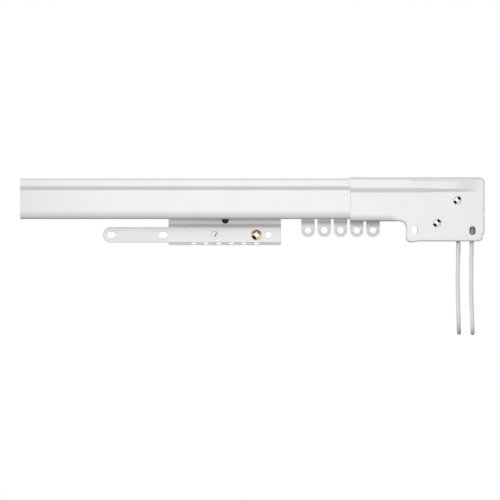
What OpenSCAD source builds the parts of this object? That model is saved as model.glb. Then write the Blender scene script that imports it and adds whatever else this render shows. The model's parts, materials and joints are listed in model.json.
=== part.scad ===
// Corded curtain track: a rear-open steel rail with a cord-drawn carrier, its gliders, a pulley
// housing at the right end, a swinging support in the middle and a bracket on the wall at each end.
// Millimetres. +X runs along the rail to the pulley housing, -Y faces the room and +Z is up.
// The origin lies on the wall, midway between the two bracket screw holes.

/* [Rail] */
// Length of the rail
rail_len = 289.5; // [270:0.5:400]
// Height of the rail
rail_h = 30.3; // [29.5:0.1:36]
// Depth of the rail from its rear plane to its front panel
rail_d = 17; // [16:0.5:22]
// Sheet thickness of the rail
rail_t = 0.8; // [0.6:0.05:1]
// How far the top bead stands out from the front panel
bead_out = 1.2; // [0.8:0.1:1.8]
// Height of the bead above its curved step
bead_h = 4.75; // [3.75:0.25:5.25]
// Height of the curved step under the bead
step_h = 5.25; // [4.5:0.25:6]
// Height of the upper rear lip
top_lip = 7.5; // [6:0.5:8]
// Height of the lower rear lip
bottom_lip = 6; // [4.5:0.5:6.5]
// Radius of the rolled lower front edge
roll_r = 3.2; // [2:0.1:3.5]
// Distance from the wall to the rear plane of the rail
standoff = 22; // [22:0.5:40]

/* [Cord and pulleys] */
// Diameter of the draw cord
cord_d = 3.2; // [2.6:0.1:3.4]
// Pitch radius of the upper pulley in the housing
upper_pulley_r = 11; // [10:0.1:11.2]
// Pitch radius of the lower pulley in the housing
lower_pulley_r = 9; // [8.5:0.1:9.5]
// Thickness of the pulley flanges at the rim
flange_t = 0.9; // [0.6:0.1:1.2]
// Diameter of the pulley axles
axle_d = 4; // [3:0.1:5]
// Diameter of the domed axle heads
axle_head_d = 6.4; // [6:0.1:8]

/* [Carriers] */
// Distance between the eyes of two parked carriers
carrier_pitch = 12.2; // [11.6:0.1:16]
// Width of a carrier
carrier_w = 10.4; // [9:0.1:11]
// Diameter of the hole in a carrier's eye
eye_hole_d = 4.8; // [4:0.1:6]
// Distance of the eye holes below the rail
eye_drop = 8.25; // [7:0.25:12]
// Distance from the rail's right end to the eye of the cord-drawn carrier
master_from_end = 73.3; // [70:0.1:90]
// Thickness of a carrier's hanging tail
tail_t = 2.4; // [2:0.1:3]

/* [Pulley housing] */
// Length of the sleeve that covers the end of the rail
sleeve_len = 42; // [30:0.5:60]
// Length of the housing past the end of the rail
housing_over = 59.1; // [57:0.1:70]
// Distance from the bottom of the rail to the bottom of the housing
housing_drop = 16.8; // [16:0.1:20]
// Sheet thickness of the housing
housing_t = 0.85; // [0.7:0.05:1]
// Outer corner radius of the housing
housing_r = 3.75; // [2:0.25:5]

/* [Centre support] */
// Distance from the rail's right end to the pivot of the support
support_from_end = 135.6; // [110:0.1:140]
// Width of the clip strap
clip_w = 6.4; // [6:0.1:9]
// Length of the support channel
channel_len = 84.9; // [70:0.1:100]
// Height of the support arm
arm_h = 11.6; // [10:0.1:14]
// Distance from the first arm hole to the pivot
arm_reach = 86; // [80:0.1:90]
// Distance between the arm holes
arm_pitch = 39; // [38:0.1:42]
// Width of the round arm holes and of the arm slots
arm_hole_d = 5; // [4.2:0.1:6]
// Length of the two arm slots
arm_slot_len = 6.6; // [6.2:0.1:8]
// Distance between the perforations in the channel's lip
perf_pitch = 9.5; // [8:0.1:10]
// Length of the perforations along the lip
perf_len = 3.6; // [2.4:0.1:5]
// Diameter of the head of the arm screw
screw_head_d = 7.9; // [7:0.1:9]

/* [Wall brackets] */
// Sheet thickness of the brackets and of the support clip
strap_t = 1.2; // [1:0.05:1.5]
// Width of a wall bracket
bracket_w = 8; // [7:0.1:12]
// Diameter of the wall screw holes
wall_hole_d = 4.5; // [3.5:0.1:5]
// Distance from the rail's left end to the left bracket
left_inset = 26.7; // [24:0.1:40]
// Distance from the housing's right end to the right bracket
right_inset = 30.3; // [27:0.1:33]

/* [Hidden] */
$fn = 48;

// Clearances
run_gap = 0.3;
seat_gap = 0.2;
axle_gap = 0.04;
rivet_gap = 0.02;
cut = 1;

// Places along the rail
screw_span = rail_len + housing_over - left_inset - right_inset;
rail_x0 = -screw_span / 2 - left_inset;
rail_x1 = rail_x0 + rail_len;
housing_x0 = rail_x1 - sleeve_len;
housing_x1 = rail_x1 + housing_over;
left_bracket_x = -screw_span / 2;
right_bracket_x = screw_span / 2;

// Heights and depths of the rail
rail_below_screws = 7;
rail_z0 = -rail_below_screws;
rail_z1 = rail_z0 + rail_h;
rail_rear = -standoff;
rail_panel = rail_rear - rail_d;
lip_z = rail_z1 - top_lip;
step_r = 3;
step_share = 0.25;
bead_r = 1.4;
fold_r = 1.2;
lip_inner = rail_rear - rail_t;

// Hooks that hold the rail by its upper rear lip
hook_up = 5;
hook_mid = lip_inner - run_gap - strap_t / 2;
hook_shelf = lip_z - run_gap - strap_t / 2;

// Cord runs inside the rail
cord_r = cord_d / 2;
cord_behind = 9;
cord_y = rail_rear - cord_behind;
upper_run_down = 5.2;
lower_run_up = 6;
upper_run = rail_z1 - upper_run_down;
lower_run = rail_z0 + lower_run_up;
return_pulley_r = (upper_run - lower_run) / 2;
return_z = (upper_run + lower_run) / 2;
return_in = 14.5;
return_x = rail_x0 + return_in;
exit_in = 9.6;
upper_x = housing_x1 - exit_in - upper_pulley_r;
upper_z = upper_run - upper_pulley_r;
lower_in = 35.8;
lower_x = housing_x1 - lower_in;
lower_z = lower_run - lower_pulley_r;
exit_a = upper_x + upper_pulley_r;
exit_gap = 10.1;
exit_b = exit_a - exit_gap;

// Pulley sections
axles_apart = norm([upper_x - lower_x, upper_z - lower_z]);
flange_room = (axles_apart - upper_pulley_r - lower_pulley_r - run_gap) / 2;
flange_out = min(1.25, flange_room);
groove_half = cord_r + run_gap;
pulley_w = 2 * (groove_half + flange_t);
hub_wall = 1.8;
axle_r = axle_d / 2;
bore_r = axle_r + axle_gap;
head_h = 1.3;
axle_tail_out = 0.8;
axle_tail_h = 0.6;
dome_steps = 8;

// Pulley housing
housing_gap = 0.1;
sleeve_gap = 0.85;
housing_front = rail_panel - housing_gap - housing_t;
housing_z1 = rail_z1 + housing_gap + housing_t;
housing_z0 = rail_z0 - housing_drop;
sleeve_z0 = rail_z0 - sleeve_gap - housing_t;
housing_step_drop = 1.5;
bead_end_in = 7.5;
bead_fade = 12;
tab_w = 8.2;
tab_drop = 0.7;
inner_corner_r = 4.5;
side_step = 1.25;
side_step_up = 5.3;
side_step_z = housing_z0 + side_step_up;
least_corner_r = 0.5;
back_y = rail_rear - housing_t;
back_gap = 0.15;
left_slot_in = 6.6;
left_slot_x = rail_x1 + left_slot_in;
slot_up = 8.6;
slot_w = 4.6;
slot_h = 7.2;
right_slot_off = 0.4;
right_slot_down = 0.6;
right_slot_x = exit_a + right_slot_off;
right_slot_h = 6.6;

// Cord guide in the bottom of the housing
guide_h = 2.4;
guide_side = 3.2;
guide_half = 5.2;
guide_lip = 0.6;
foot_r = exit_in - side_step - guide_side;
guide_bore_r = cord_r + run_gap;

// Carriers
shoe_gap = 1.1;
shoe_back = hook_mid - strap_t / 2 - shoe_gap;
shoe_t = 2.4;
shoe_front = shoe_back - shoe_t;
shoe_z0 = rail_z0 + rail_t + seat_gap;
shoe_h = 24;
neck_z0 = rail_z0 + bottom_lip + run_gap;
neck_h = 3.2;
tail_front = rail_rear + run_gap;
tail_back = tail_front + tail_t;
eye_z = rail_z0 - eye_drop;
eye_hole_r = eye_hole_d / 2;
eye_ring = 1.1;
eye_ring_h = 0.6;
master_x = rail_x1 - master_from_end;
grip_right = 5.2;
grip_len = 17;
grip_half = 3.4;
grip_bore_r = cord_r + run_gap;
clamp_t = 3;
clamp_top = 9.5;
clamp_screw_z = lower_run + 6.2;
clamp_screw_r = 1.2;
clamp_head_r = 2.2;
clamp_head_h = 1.3;

// End block with the return pulley
block_gap = 0.3;
block_len = 28;
cheek_gap = 0.4;

// Centre support
pivot_x = rail_x1 - support_from_end;
pivot_drop = 0.8;
pivot_z = rail_z0 - pivot_drop;
pivot_r = 2;
pivot_head_r = 2.6;
pivot_head_h = 1;
web_back = -4.4;
web_t = 1.2;
web_front = web_back - web_t;
web_roll_out = 0.9;
web_roll_h = 6.6;
web_roll_run = 2;
web_roll_bend = 1.5;
strap_back = web_front - web_roll_out - run_gap;
strap_mid = strap_back - strap_t / 2;
arm_t = 1.2;
arm_gap = 0.1;
arm_back = web_front - arm_gap;
arm_front = arm_back - arm_t;
arm_below = 2;
arm_z1 = pivot_z - clip_w / 2 - arm_below;
arm_z0 = arm_z1 - arm_h;
arm_mid = (arm_z0 + arm_z1) / 2;
arm_end_in = 6.4;
arm_count = 4;
arm_slots = 2;
arm_x = pivot_x - arm_reach;
channel_right = 42;
channel_x1 = pivot_x + channel_right;
channel_x0 = channel_x1 - channel_len;
channel_up = 7.8;
channel_lip = 5;
lip_r = 1.6;
lip_gap = 0.8;
channel_z0 = arm_z0 - lip_gap - web_t;
perf_count = 6;
perf_first = 19;
perf_d = 1.7;
perf_up = 0.2;
last_hole_out = 1.5;
screw_from_hole = 9;
screw_x = arm_x + (arm_count - 1) * arm_pitch + last_hole_out - screw_from_hole;
screw_r = 2;
screw_slide = 9.5;
screw_slot_gap = 0.5;
screw_head_h = 2.2;
recess_w = 1;
recess_h = 1.2;
recess_share = 0.55;
nut_h = 2.2;
nut_w = 7;
nut_gap = 0.1;

// Wall brackets
flange_z0 = -6;
flange_fillet = 1.2;
wall_hole_r = wall_hole_d / 2;
tongue_up = 4;

// Coil of spare cord behind the housing, hung on the right bracket's shelf
coil_room = 0.45;
coil_step = cord_d + coil_room;
coil_r = 21.4;
coil_turns = 2.5;
coil_layers = 4;
coil_last_turns = 1.75;
coil_rings = 24;
coil_x = right_bracket_x;
coil_z = 1.4;
coil_behind = 5;
coil_front = rail_rear + coil_behind;
coil_in = coil_r - coil_turns * coil_step;
coil_out = coil_r + coil_step / 4;
climb = 0.5;
shelf_clear = coil_in + coil_step / 4 - cord_r - run_gap;
right_shelf = coil_z + sqrt(shelf_clear * shelf_clear - bracket_w * bracket_w / 4) - strap_t / 2;

// Tie round one side of the coil
tie_w = 6;
tie_t = 1;
tie_gap = 0.3;

// Free cord from the housing's right bore down, round and up to the start of the coil
bore_a = [exit_a, cord_y, housing_z0];
strand_a_from_bore = [
    [0, 0, 0], [0, 0, -3.9], [-0.2, 0, -13.9], [-0.3, 0, -23.9], [-0.4, 0, -33.9], [-0.2, 0, -43.9],
    [0.2, 0, -53.9], [0.5, 0, -61.9], [0.7, 0.9, -65.4], [0.8, 3.5, -68], [0.9, 7, -68.9],
    [1, 10.5, -68], [1, 13.1, -65.4], [0.9, 14, -61.9], [0.4, 14, -48.9], [0, 14, -33.9],
    [0.1, 14, -18.9], [0.4, 14, -2.9], [0.7, 14, 15.8], [0.7, 14, 22]
];
strand_a = [for (p = strand_a_from_bore) bore_a + p];

// Free cord from the end of the coil down, round and up to the housing's left bore
bore_b = [exit_b, cord_y, housing_z0];
strand_b_from_bore = [
    [-7.4, 24.95, 6.54], [-5.9, 24.95, 6.54], [-3.7, 24.95, 6.1], [-1.3, 24.95, 4.6],
    [0.2, 24.95, 2.3], [0.6, 24.95, 0], [0.4, 24.95, -16.9], [0.4, 24.95, -36.9],
    [0.9, 24.95, -56.1], [1, 23.3, -62.3], [1, 18.7, -66.9], [0.9, 12.5, -68.6], [0.7, 6.2, -66.9],
    [0.4, 1.7, -62.3], [0.2, 0, -56.1], [-0.2, 0, -42.9], [-0.4, 0, -29.9], [-0.2, 0, -15.9],
    [0, 0, -3.9], [0, 0, 0]
];
strand_b = [for (p = strand_b_from_bore) bore_b + p];

enamel = "whitesmoke";
plastic = "lavender";
nickel = "silver";
cord_colour = "linen";

// Outlines with rounded corners. A corner is [u, v, radius].
function unit(v) = v / norm(v);
function left_of(d) = [-d[1], d[0]];
function flat(c) = [c[0], c[1]];

function corner_arc(a, b, c, steps) =
    let (u = unit(flat(a) - flat(b)))
    let (v = unit(flat(c) - flat(b)))
    let (half = acos(u * v) / 2)
    let (centre = flat(b) + unit(u + v) * b[2] / sin(half))
    let (start = flat(b) + u * b[2] / tan(half) - centre)
    let (end = flat(b) + v * b[2] / tan(half) - centre)
    let (from = atan2(start[1], start[0]))
    let (sweep = (atan2(end[1], end[0]) - from + 540) % 360 - 180)
    [for (i = [0 : steps]) let (a = from + sweep * i / steps) centre + b[2] * [cos(a), sin(a)]];

function rounded_path(corners, steps = 6) =
    let (last = len(corners) - 1)
    [for (i = [0 : last])
        each (i == 0 || i == last || corners[i][2] == 0)
            ? [flat(corners[i])]
            : corner_arc(corners[i - 1], corners[i], corners[i + 1], steps)];

function rounded_loop(corners, steps = 6) =
    let (n = len(corners))
    [for (i = [0 : n - 1])
        each (corners[i][2] == 0)
            ? [flat(corners[i])]
            : corner_arc(corners[(i + n - 1) % n], corners[i], corners[(i + 1) % n], steps)];

function side_of(path, i) =
    let (last = len(path) - 1)
    let (before = left_of(unit(i > 0 ? path[i] - path[i - 1] : path[1] - path[0])))
    let (after = left_of(unit(i < last ? path[i + 1] - path[i] : path[last] - path[last - 1])))
    let (middle = unit(before + after))
    middle / (middle * before);

// Section of a bent sheet along the middle of its thickness
function sheet_section(corners, thickness) =
    let (path = rounded_path(corners))
    let (last = len(path) - 1)
    concat(
        [for (i = [0 : last]) path[i] + side_of(path, i) * thickness / 2],
        [for (i = [last : -1 : 0]) path[i] - side_of(path, i) * thickness / 2]
    );

// Extrusions of a (y, z) section along X, and of an (x, z) outline along Y
module along_x(x0, x1) {
    translate([x0, 0, 0]) rotate([90, 0, 90]) linear_extrude(x1 - x0) children();
}

module along_y(y0, y1) {
    translate([0, y1, 0]) rotate([90, 0, 0]) linear_extrude(y1 - y0) children();
}

module box(low, high) {
    translate(low) cube(high - low);
}

module rod_y(x, z, r, y0, y1) {
    translate([x, y1, z]) rotate([90, 0, 0]) cylinder(r = r, h = y1 - y0);
}

module rod_z(x, y, r, z0, z1) {
    translate([x, y, z0]) cylinder(r = r, h = z1 - z0);
}

// Slot through a plate, along X or along Z
module slot_y(x, z, length, width, y0, y1, upright = false) {
    reach = (length - width) / 2;
    dx = upright ? 0 : reach;
    dz = upright ? reach : 0;
    for (s = [-1, 1]) rod_y(x + s * dx, z + s * dz, width / 2, y0, y1);
    flat_x = upright ? width / 2 : reach;
    flat_z = upright ? reach : width / 2;
    box([x - flat_x, y0, z - flat_z], [x + flat_x, y1, z + flat_z]);
}

// Round cord swept along points, six or eight sided; across is a direction it never runs in
function tangent(route, i) =
    let (last = len(route) - 1)
    unit(
        (i < last ? unit(route[i + 1] - route[i]) : [0, 0, 0])
        + (i > 0 ? unit(route[i] - route[i - 1]) : [0, 0, 0])
    );

function ring(route, i, r, sides, across) =
    let (t = tangent(route, i))
    let (u = unit(cross(across, t)))
    let (v = cross(t, u))
    [for (k = [0 : sides - 1]) route[i] + r * (cos(360 * k / sides) * u + sin(360 * k / sides) * v)];

module tube(route, d, sides, across) {
    last = len(route) - 1;
    points = [for (i = [0 : last]) each ring(route, i, d / 2, sides, across)];
    walls = [
        for (i = [0 : last - 1], k = [0 : sides - 1])
            let (a = i * sides + k)
            let (b = i * sides + (k + 1) % sides)
            each [[a, a + sides, b], [b, a + sides, b + sides]]
    ];
    first_cap = [for (k = [1 : sides - 2]) [0, k, k + 1]];
    end = last * sides;
    last_cap = [for (k = [1 : sides - 2]) [end, end + k + 1, end + k]];
    polyhedron(points = points, faces = concat(walls, first_cap, last_cap));
}

// Front of the rail from its top edge down to its panel; grow moves the face outwards
function front_corners(grow, drop) = [
    [rail_panel - bead_out - grow, rail_z1 + grow, bead_r],
    [rail_panel - bead_out - grow, rail_z1 - bead_h - step_h * step_share - drop, step_r],
    [rail_panel - grow, rail_z1 - bead_h - step_h * (1 - step_share) - drop, step_r]
];

function rail_corners() =
    let (h = rail_t / 2)
    concat(
        [[rail_rear - h, lip_z, 0], [rail_rear - h, rail_z1 - h, fold_r]],
        front_corners(-h, 0),
        [
            [rail_panel + h, rail_z0 + h, roll_r],
            [rail_rear - h, rail_z0 + h, fold_r],
            [rail_rear - h, rail_z0 + bottom_lip, 0]
        ]
    );

module rail() {
    color(enamel) along_x(rail_x0, rail_x1) polygon(sheet_section(rail_corners(), rail_t));
}

// Outline of the housing seen from the front, drawn in by inset on every edge but the open left end
function housing_outline(inset) =
    let (r = max(housing_r - inset, least_corner_r))
    [
        [housing_x0 - (inset > 0 ? cut : 0), housing_z1 - inset, 0],
        [housing_x1 - inset, housing_z1 - inset, r],
        [housing_x1 - inset, side_step_z + inset, 0],
        [housing_x1 - side_step - inset, side_step_z + inset, 0],
        [housing_x1 - side_step - inset, housing_z0 + inset, min(r, foot_r - inset)],
        [rail_x1 + tab_w - inset, housing_z0 + inset, 0],
        [rail_x1 + tab_w - inset, housing_z0 - tab_drop + inset, 0],
        [rail_x1 + inset, housing_z0 - tab_drop + inset, r],
        [rail_x1 + inset, sleeve_z0 + inset, inner_corner_r],
        [housing_x0 - (inset > 0 ? cut : 0), sleeve_z0 + inset, 0]
    ];

// Bead along the top of the housing's front, closed at the back on the panel
function housing_bead(grow, drop, back) =
    let (top = [back, rail_z1 + grow, 0])
    let (foot = [rail_panel - grow, rail_z0, 0])
    concat(rounded_path(concat([top], front_corners(grow, drop), [foot])), [[back, rail_z0]]);

module bead_fade_cut() {
    start = housing_x1 - bead_end_in - bead_fade;
    rise = bead_out + cut * bead_out / bead_fade;
    translate([0, housing_front, rail_z0]) linear_extrude(rail_h * 2) polygon([
        [start + bead_fade, 0],
        [start - cut, -rise],
        [start - cut, -rise - bead_out],
        [housing_x1 + cut, -rise - bead_out],
        [housing_x1 + cut, 0]
    ]);
}

module end_housing() {
    grow = housing_gap + housing_t;
    front = housing_front - cut;
    color(enamel) difference() {
        union() {
            along_y(housing_front, rail_rear) polygon(rounded_loop(housing_outline(0)));
            difference() {
                along_x(housing_x0, housing_x1 - housing_r)
                    polygon(housing_bead(grow, housing_step_drop, rail_panel - grow / 2));
                bead_fade_cut();
            }
        }
        along_y(housing_front + housing_t, rail_rear + cut)
            polygon(rounded_loop(housing_outline(housing_t)));
        along_x(housing_x0 - cut, rail_x1 + run_gap) polygon(housing_bead(housing_gap, 0, rail_rear + cut));
        slot_y(left_slot_x, housing_z0 + slot_up, slot_h, slot_w, front, back_y, true);
        slot_y(right_slot_x, housing_z0 + slot_up - right_slot_down, right_slot_h, slot_w, front, back_y, true);
        rod_y(upper_x, upper_z, axle_r + rivet_gap, front, back_y);
        rod_y(lower_x, lower_z, axle_r + rivet_gap, front, back_y);
        guide_foot(seat_gap, cut);
    }
}

module housing_back() {
    edge = housing_t + back_gap;
    x0 = rail_x1 + run_gap;
    color(enamel) difference() {
        intersection() {
            along_y(back_y, rail_rear) polygon(rounded_loop(housing_outline(edge)));
            box([x0, back_y - cut, housing_z0 - tab_drop], [housing_x1, rail_rear + cut, housing_z1]);
        }
        slot_y(left_slot_x, housing_z0 + slot_up, slot_h, slot_w, back_y - cut, rail_rear + cut, true);
        rod_y(upper_x, upper_z, axle_r + rivet_gap, back_y - cut, rail_rear + cut);
        rod_y(lower_x, lower_z, axle_r + rivet_gap, back_y - cut, rail_rear + cut);
        half = bracket_w / 2 + seat_gap;
        box(
            [right_bracket_x - half, back_y - cut, right_shelf - strap_t / 2 - tongue_up - 2 * seat_gap],
            [right_bracket_x + half, rail_rear + cut, right_shelf + strap_t / 2 + seat_gap]
        );
    }
}

// Foot of the cord guide in the housing's bottom wall
module guide_foot(gap, deeper) {
    side = guide_side - guide_lip + gap;
    half = guide_half - guide_lip + gap;
    box(
        [exit_b - side, cord_y - half, housing_z0 - deeper],
        [exit_a + side, cord_y + half, housing_z0 + housing_t + gap]
    );
}

module cord_guide() {
    seat = housing_z0 + housing_t;
    color(plastic) difference() {
        union() {
            guide_foot(0, 0);
            box(
                [exit_b - guide_side, cord_y - guide_half, seat],
                [exit_a + guide_side, cord_y + guide_half, seat + guide_h]
            );
        }
        for (x = [exit_b, exit_a]) {
            rod_z(x, cord_y, guide_bore_r, housing_z0 - cut, seat + guide_h + cut);
        }
    }
}

// Grooved pulley on a long hub that keeps it between two walls
module pulley(x, z, pitch_r, y0, y1) {
    groove_r = pitch_r - groove_half;
    seat_r = pitch_r - cord_r / 2;
    rim_r = pitch_r + flange_out;
    half = pulley_w / 2;
    front = cord_y - y0;
    back = y1 - cord_y;
    hub_r = bore_r + hub_wall;
    translate([x, cord_y, z]) rotate([90, 0, 0]) rotate_extrude() polygon([
        [bore_r, -back],
        [hub_r, -back],
        [hub_r, -half],
        [rim_r, -half],
        [rim_r, -groove_half],
        [seat_r, -groove_half],
        [groove_r, -cord_r / 2],
        [groove_r, cord_r / 2],
        [seat_r, groove_half],
        [rim_r, groove_half],
        [rim_r, half],
        [hub_r, half],
        [hub_r, front],
        [bore_r, front]
    ]);
}

// Domed head that stands forward of y
module dome_y(x, z, r, h, y) {
    ball_r = (r * r + h * h) / (2 * h);
    edge = asin(r / ball_r);
    arc = [for (i = [0 : dome_steps]) edge * (1 - i / dome_steps)];
    translate([x, y, z]) rotate([90, 0, 0]) rotate_extrude()
        polygon(concat([[0, 0]], [for (a = arc) [ball_r * sin(a), ball_r * cos(a) - ball_r + h]]));
}

// Axle riveted over at the back, with a domed head at the front
module riveted_axle(x, z, y0, y1, head_r) {
    rod_y(x, z, axle_r, y0, y1);
    rod_y(x, z, axle_r + axle_tail_out, y1, y1 + axle_tail_h);
    dome_y(x, z, head_r, head_h, y0);
}

hub_front = housing_front + housing_t + seat_gap;
hub_back = back_y - seat_gap;

module upper_pulley() {
    color(plastic) pulley(upper_x, upper_z, upper_pulley_r, hub_front, hub_back);
}

module lower_pulley() {
    color(plastic) pulley(lower_x, lower_z, lower_pulley_r, hub_front, hub_back);
}

module upper_axle() {
    color(nickel) riveted_axle(upper_x, upper_z, housing_front, rail_rear, axle_head_d / 2);
}

module lower_axle() {
    color(nickel) riveted_axle(lower_x, lower_z, housing_front, rail_rear, axle_head_d / 2);
}

// Moulded block inside the left end of the rail
block_front = rail_panel + rail_t + block_gap;
block_back = shoe_back;
block_z0 = rail_z0 + rail_t + block_gap;
block_z1 = rail_z1 - rail_t - block_gap;
fork_front = cord_y - pulley_w / 2 - cheek_gap;
fork_back = cord_y + pulley_w / 2 + cheek_gap;

module end_pulley_block() {
    color(plastic) difference() {
        along_x(rail_x0, rail_x0 + block_len) polygon(rounded_loop([
            [block_front, block_z0, roll_r],
            [block_back, block_z0, 0],
            [block_back, block_z1, 0],
            [block_front, block_z1, fold_r]
        ]));
        box(
            [return_x - return_pulley_r - flange_out - 2 * cheek_gap, fork_front, block_z0 - cut],
            [rail_x0 + block_len + cut, fork_back, block_z1 + cut]
        );
        rod_y(return_x, return_z, axle_r + rivet_gap, block_front - cut, block_back + cut);
    }
}

module return_pulley() {
    color(plastic)
        pulley(return_x, return_z, return_pulley_r, fork_front + cheek_gap / 2, fork_back - cheek_gap / 2);
}

module return_axle() {
    color(nickel) rod_y(return_x, return_z, axle_r, block_front, block_back);
}

// Carrier: a shoe inside the rail, a neck over the lower lip and a tail with an eye
module carrier(x) {
    half = carrier_w / 2;
    difference() {
        union() {
            box([x - half + run_gap, shoe_front, shoe_z0], [x + half - run_gap, shoe_back, shoe_z0 + shoe_h]);
            box([x - half + run_gap, shoe_front, neck_z0], [x + half - run_gap, tail_back, neck_z0 + neck_h]);
            box([x - half, tail_front, eye_z], [x + half, tail_back, neck_z0 + neck_h]);
            rod_y(x, eye_z, half, tail_front, tail_back);
            rod_y(x, eye_z, eye_hole_r + eye_ring, tail_front - eye_ring_h, tail_back + eye_ring_h);
        }
        rod_y(x, eye_z, eye_hole_r, tail_front - cut, tail_back + cut);
    }
}

module glider(index) {
    color(plastic) carrier(master_x + index * carrier_pitch);
}

module glider_1() {
    glider(1);
}

module glider_2() {
    glider(2);
}

module glider_3() {
    glider(3);
}

module glider_4() {
    glider(4);
}

// Cord-drawn carrier: its grip reaches forward to the lower cord run
grip_x1 = master_x + min(grip_right, carrier_w / 2 - run_gap);
grip_x0 = grip_x1 - grip_len;
grip_mid = (grip_x0 + grip_x1) / 2;
grip_z0 = max(lower_run - grip_half, shoe_z0);
grip_z1 = lower_run + clamp_top;

module master_carrier() {
    color(plastic) difference() {
        union() {
            carrier(master_x);
            box([grip_x0, cord_y, grip_z0], [grip_x1, shoe_back, grip_z1]);
        }
        translate([grip_x0 - cut, cord_y, lower_run]) rotate([0, 90, 0])
            cylinder(r = grip_bore_r, h = grip_len + 2 * cut);
        rod_y(grip_mid, clamp_screw_z, clamp_screw_r + rivet_gap, cord_y - cut, shoe_back + cut);
    }
}

module cord_clamp() {
    color(nickel) difference() {
        box([grip_x0, cord_y - clamp_t, grip_z0], [grip_x1, cord_y, grip_z1]);
        translate([grip_x0 - cut, cord_y, lower_run]) rotate([0, 90, 0])
            cylinder(r = grip_bore_r, h = grip_len + 2 * cut);
        rod_y(grip_mid, clamp_screw_z, clamp_screw_r + rivet_gap, cord_y - clamp_t - cut, cord_y + cut);
    }
}

module cord_clamp_screw() {
    head_y = cord_y - clamp_t;
    color(nickel) difference() {
        union() {
            rod_y(grip_mid, clamp_screw_z, clamp_screw_r, head_y, shoe_back);
            rod_y(grip_mid, clamp_screw_z, clamp_head_r, head_y - clamp_head_h, head_y);
        }
        box(
            [grip_mid - clamp_head_r, head_y - 2 * clamp_head_h, clamp_screw_z - recess_w / 4],
            [grip_mid + clamp_head_r, head_y - clamp_head_h / 2, clamp_screw_z + recess_w / 4]
        );
    }
}

// Clip that hooks over the rail's upper rear lip and carries the support on a pivot
module support_clip() {
    half = clip_w / 2;
    color(enamel) difference() {
        union() {
            along_x(pivot_x - half, pivot_x + half) polygon(sheet_section([
                [hook_mid, hook_shelf + hook_up, 0],
                [hook_mid, hook_shelf, flange_fillet],
                [strap_mid, hook_shelf, flange_fillet],
                [strap_mid, pivot_z, 0]
            ], strap_t));
            rod_y(pivot_x, pivot_z, half, strap_mid - strap_t / 2, strap_back);
        }
        rod_y(pivot_x, pivot_z, pivot_r + rivet_gap, strap_mid - strap_t, strap_back + cut);
    }
}

module pivot_rivet() {
    front = strap_mid - strap_t / 2;
    color("black") {
        rod_y(pivot_x, pivot_z, pivot_r, front, web_back + seat_gap);
        rod_y(pivot_x, pivot_z, pivot_head_r, front - pivot_head_h, front);
        rod_y(pivot_x, pivot_z, pivot_head_r, web_back + seat_gap, web_back + seat_gap + pivot_head_h);
    }
}

// Channel that swings on the pivot, with a roll along its web and a perforated lip under the arm
module support_channel() {
    mid = web_back - web_t / 2;
    lip_mid = channel_z0 + web_t / 2;
    roll_z0 = arm_z1 + seat_gap;
    roll_z1 = roll_z0 + web_roll_h;
    front = web_front - channel_lip - cut;
    color(enamel) difference() {
        along_x(channel_x0, channel_x1) polygon(sheet_section([
            [mid, pivot_z + channel_up, 0],
            [mid, roll_z1, web_roll_bend],
            [mid - web_roll_out, roll_z1 - web_roll_run, web_roll_bend],
            [mid - web_roll_out, roll_z0 + web_roll_run, web_roll_bend],
            [mid, roll_z0, web_roll_bend],
            [mid, lip_mid, lip_r],
            [mid - channel_lip, lip_mid, 0]
        ], web_t));
        rod_y(pivot_x, pivot_z, pivot_r + axle_gap, front, web_back + cut);
        slot_y(
            screw_x, arm_mid,
            2 * (screw_slide + screw_r + screw_slot_gap), 2 * (screw_r + screw_slot_gap),
            web_front - cut, web_back + cut
        );
        for (k = [0 : perf_count - 1]) {
            slot_y(
                channel_x0 + perf_first + k * perf_pitch, channel_z0 + perf_d / 2 + perf_up,
                perf_len, perf_d, front, web_back + cut
            );
        }
    }
}

// Flat arm that slides in the channel, with two slots and two round holes
module support_arm() {
    half = arm_h / 2;
    x0 = arm_x - arm_end_in + half;
    color(enamel) difference() {
        union() {
            box([x0, arm_front, arm_z0], [channel_x1, arm_back, arm_z1]);
            rod_y(x0, arm_mid, half, arm_front, arm_back);
        }
        for (k = [0 : arm_slots - 1]) {
            slot_y(arm_x + k * arm_pitch, arm_mid, arm_slot_len, arm_hole_d, arm_front - cut, arm_back + cut);
        }
        for (k = [arm_slots : arm_count - 1]) {
            x = arm_x + k * arm_pitch + (k == arm_count - 1 ? last_hole_out : 0);
            rod_y(x, arm_mid, arm_hole_d / 2, arm_front - cut, arm_back + cut);
        }
        rod_y(screw_x, arm_mid, screw_r + axle_gap, arm_front - cut, arm_back + cut);
    }
}

module arm_screw() {
    head_r = screw_head_d / 2;
    reach = head_r * recess_share;
    color("wheat") difference() {
        union() {
            rod_y(screw_x, arm_mid, screw_r, arm_front, web_back + nut_gap + nut_h);
            dome_y(screw_x, arm_mid, head_r, screw_head_h, arm_front);
        }
        for (turn = [0, 90]) {
            translate([screw_x, arm_front - screw_head_h, arm_mid]) rotate([0, turn, 0])
                box([-reach, -cut, -recess_w / 2], [reach, recess_h, recess_w / 2]);
        }
    }
}

module arm_nut() {
    half = nut_w / 2;
    color(nickel) difference() {
        box(
            [screw_x - half, web_back + nut_gap, arm_mid - half],
            [screw_x + half, web_back + nut_gap + nut_h, arm_mid + half]
        );
        rod_y(screw_x, arm_mid, screw_r + axle_gap, web_back, web_back + nut_gap + nut_h + cut);
    }
}

// Bracket bent from strip: a hook or tongue at the front, a shelf and a flange on the wall
module wall_bracket(x, hook_y, shelf, up) {
    half = bracket_w / 2;
    color(enamel) difference() {
        along_x(x - half, x + half) polygon(sheet_section([
            [hook_y, shelf + up, 0],
            [hook_y, shelf, flange_fillet],
            [-strap_t / 2, shelf, flange_fillet],
            [-strap_t / 2, flange_z0, 0]
        ], strap_t));
        rod_y(x, 0, wall_hole_r, -strap_t - cut, cut);
    }
}

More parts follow.
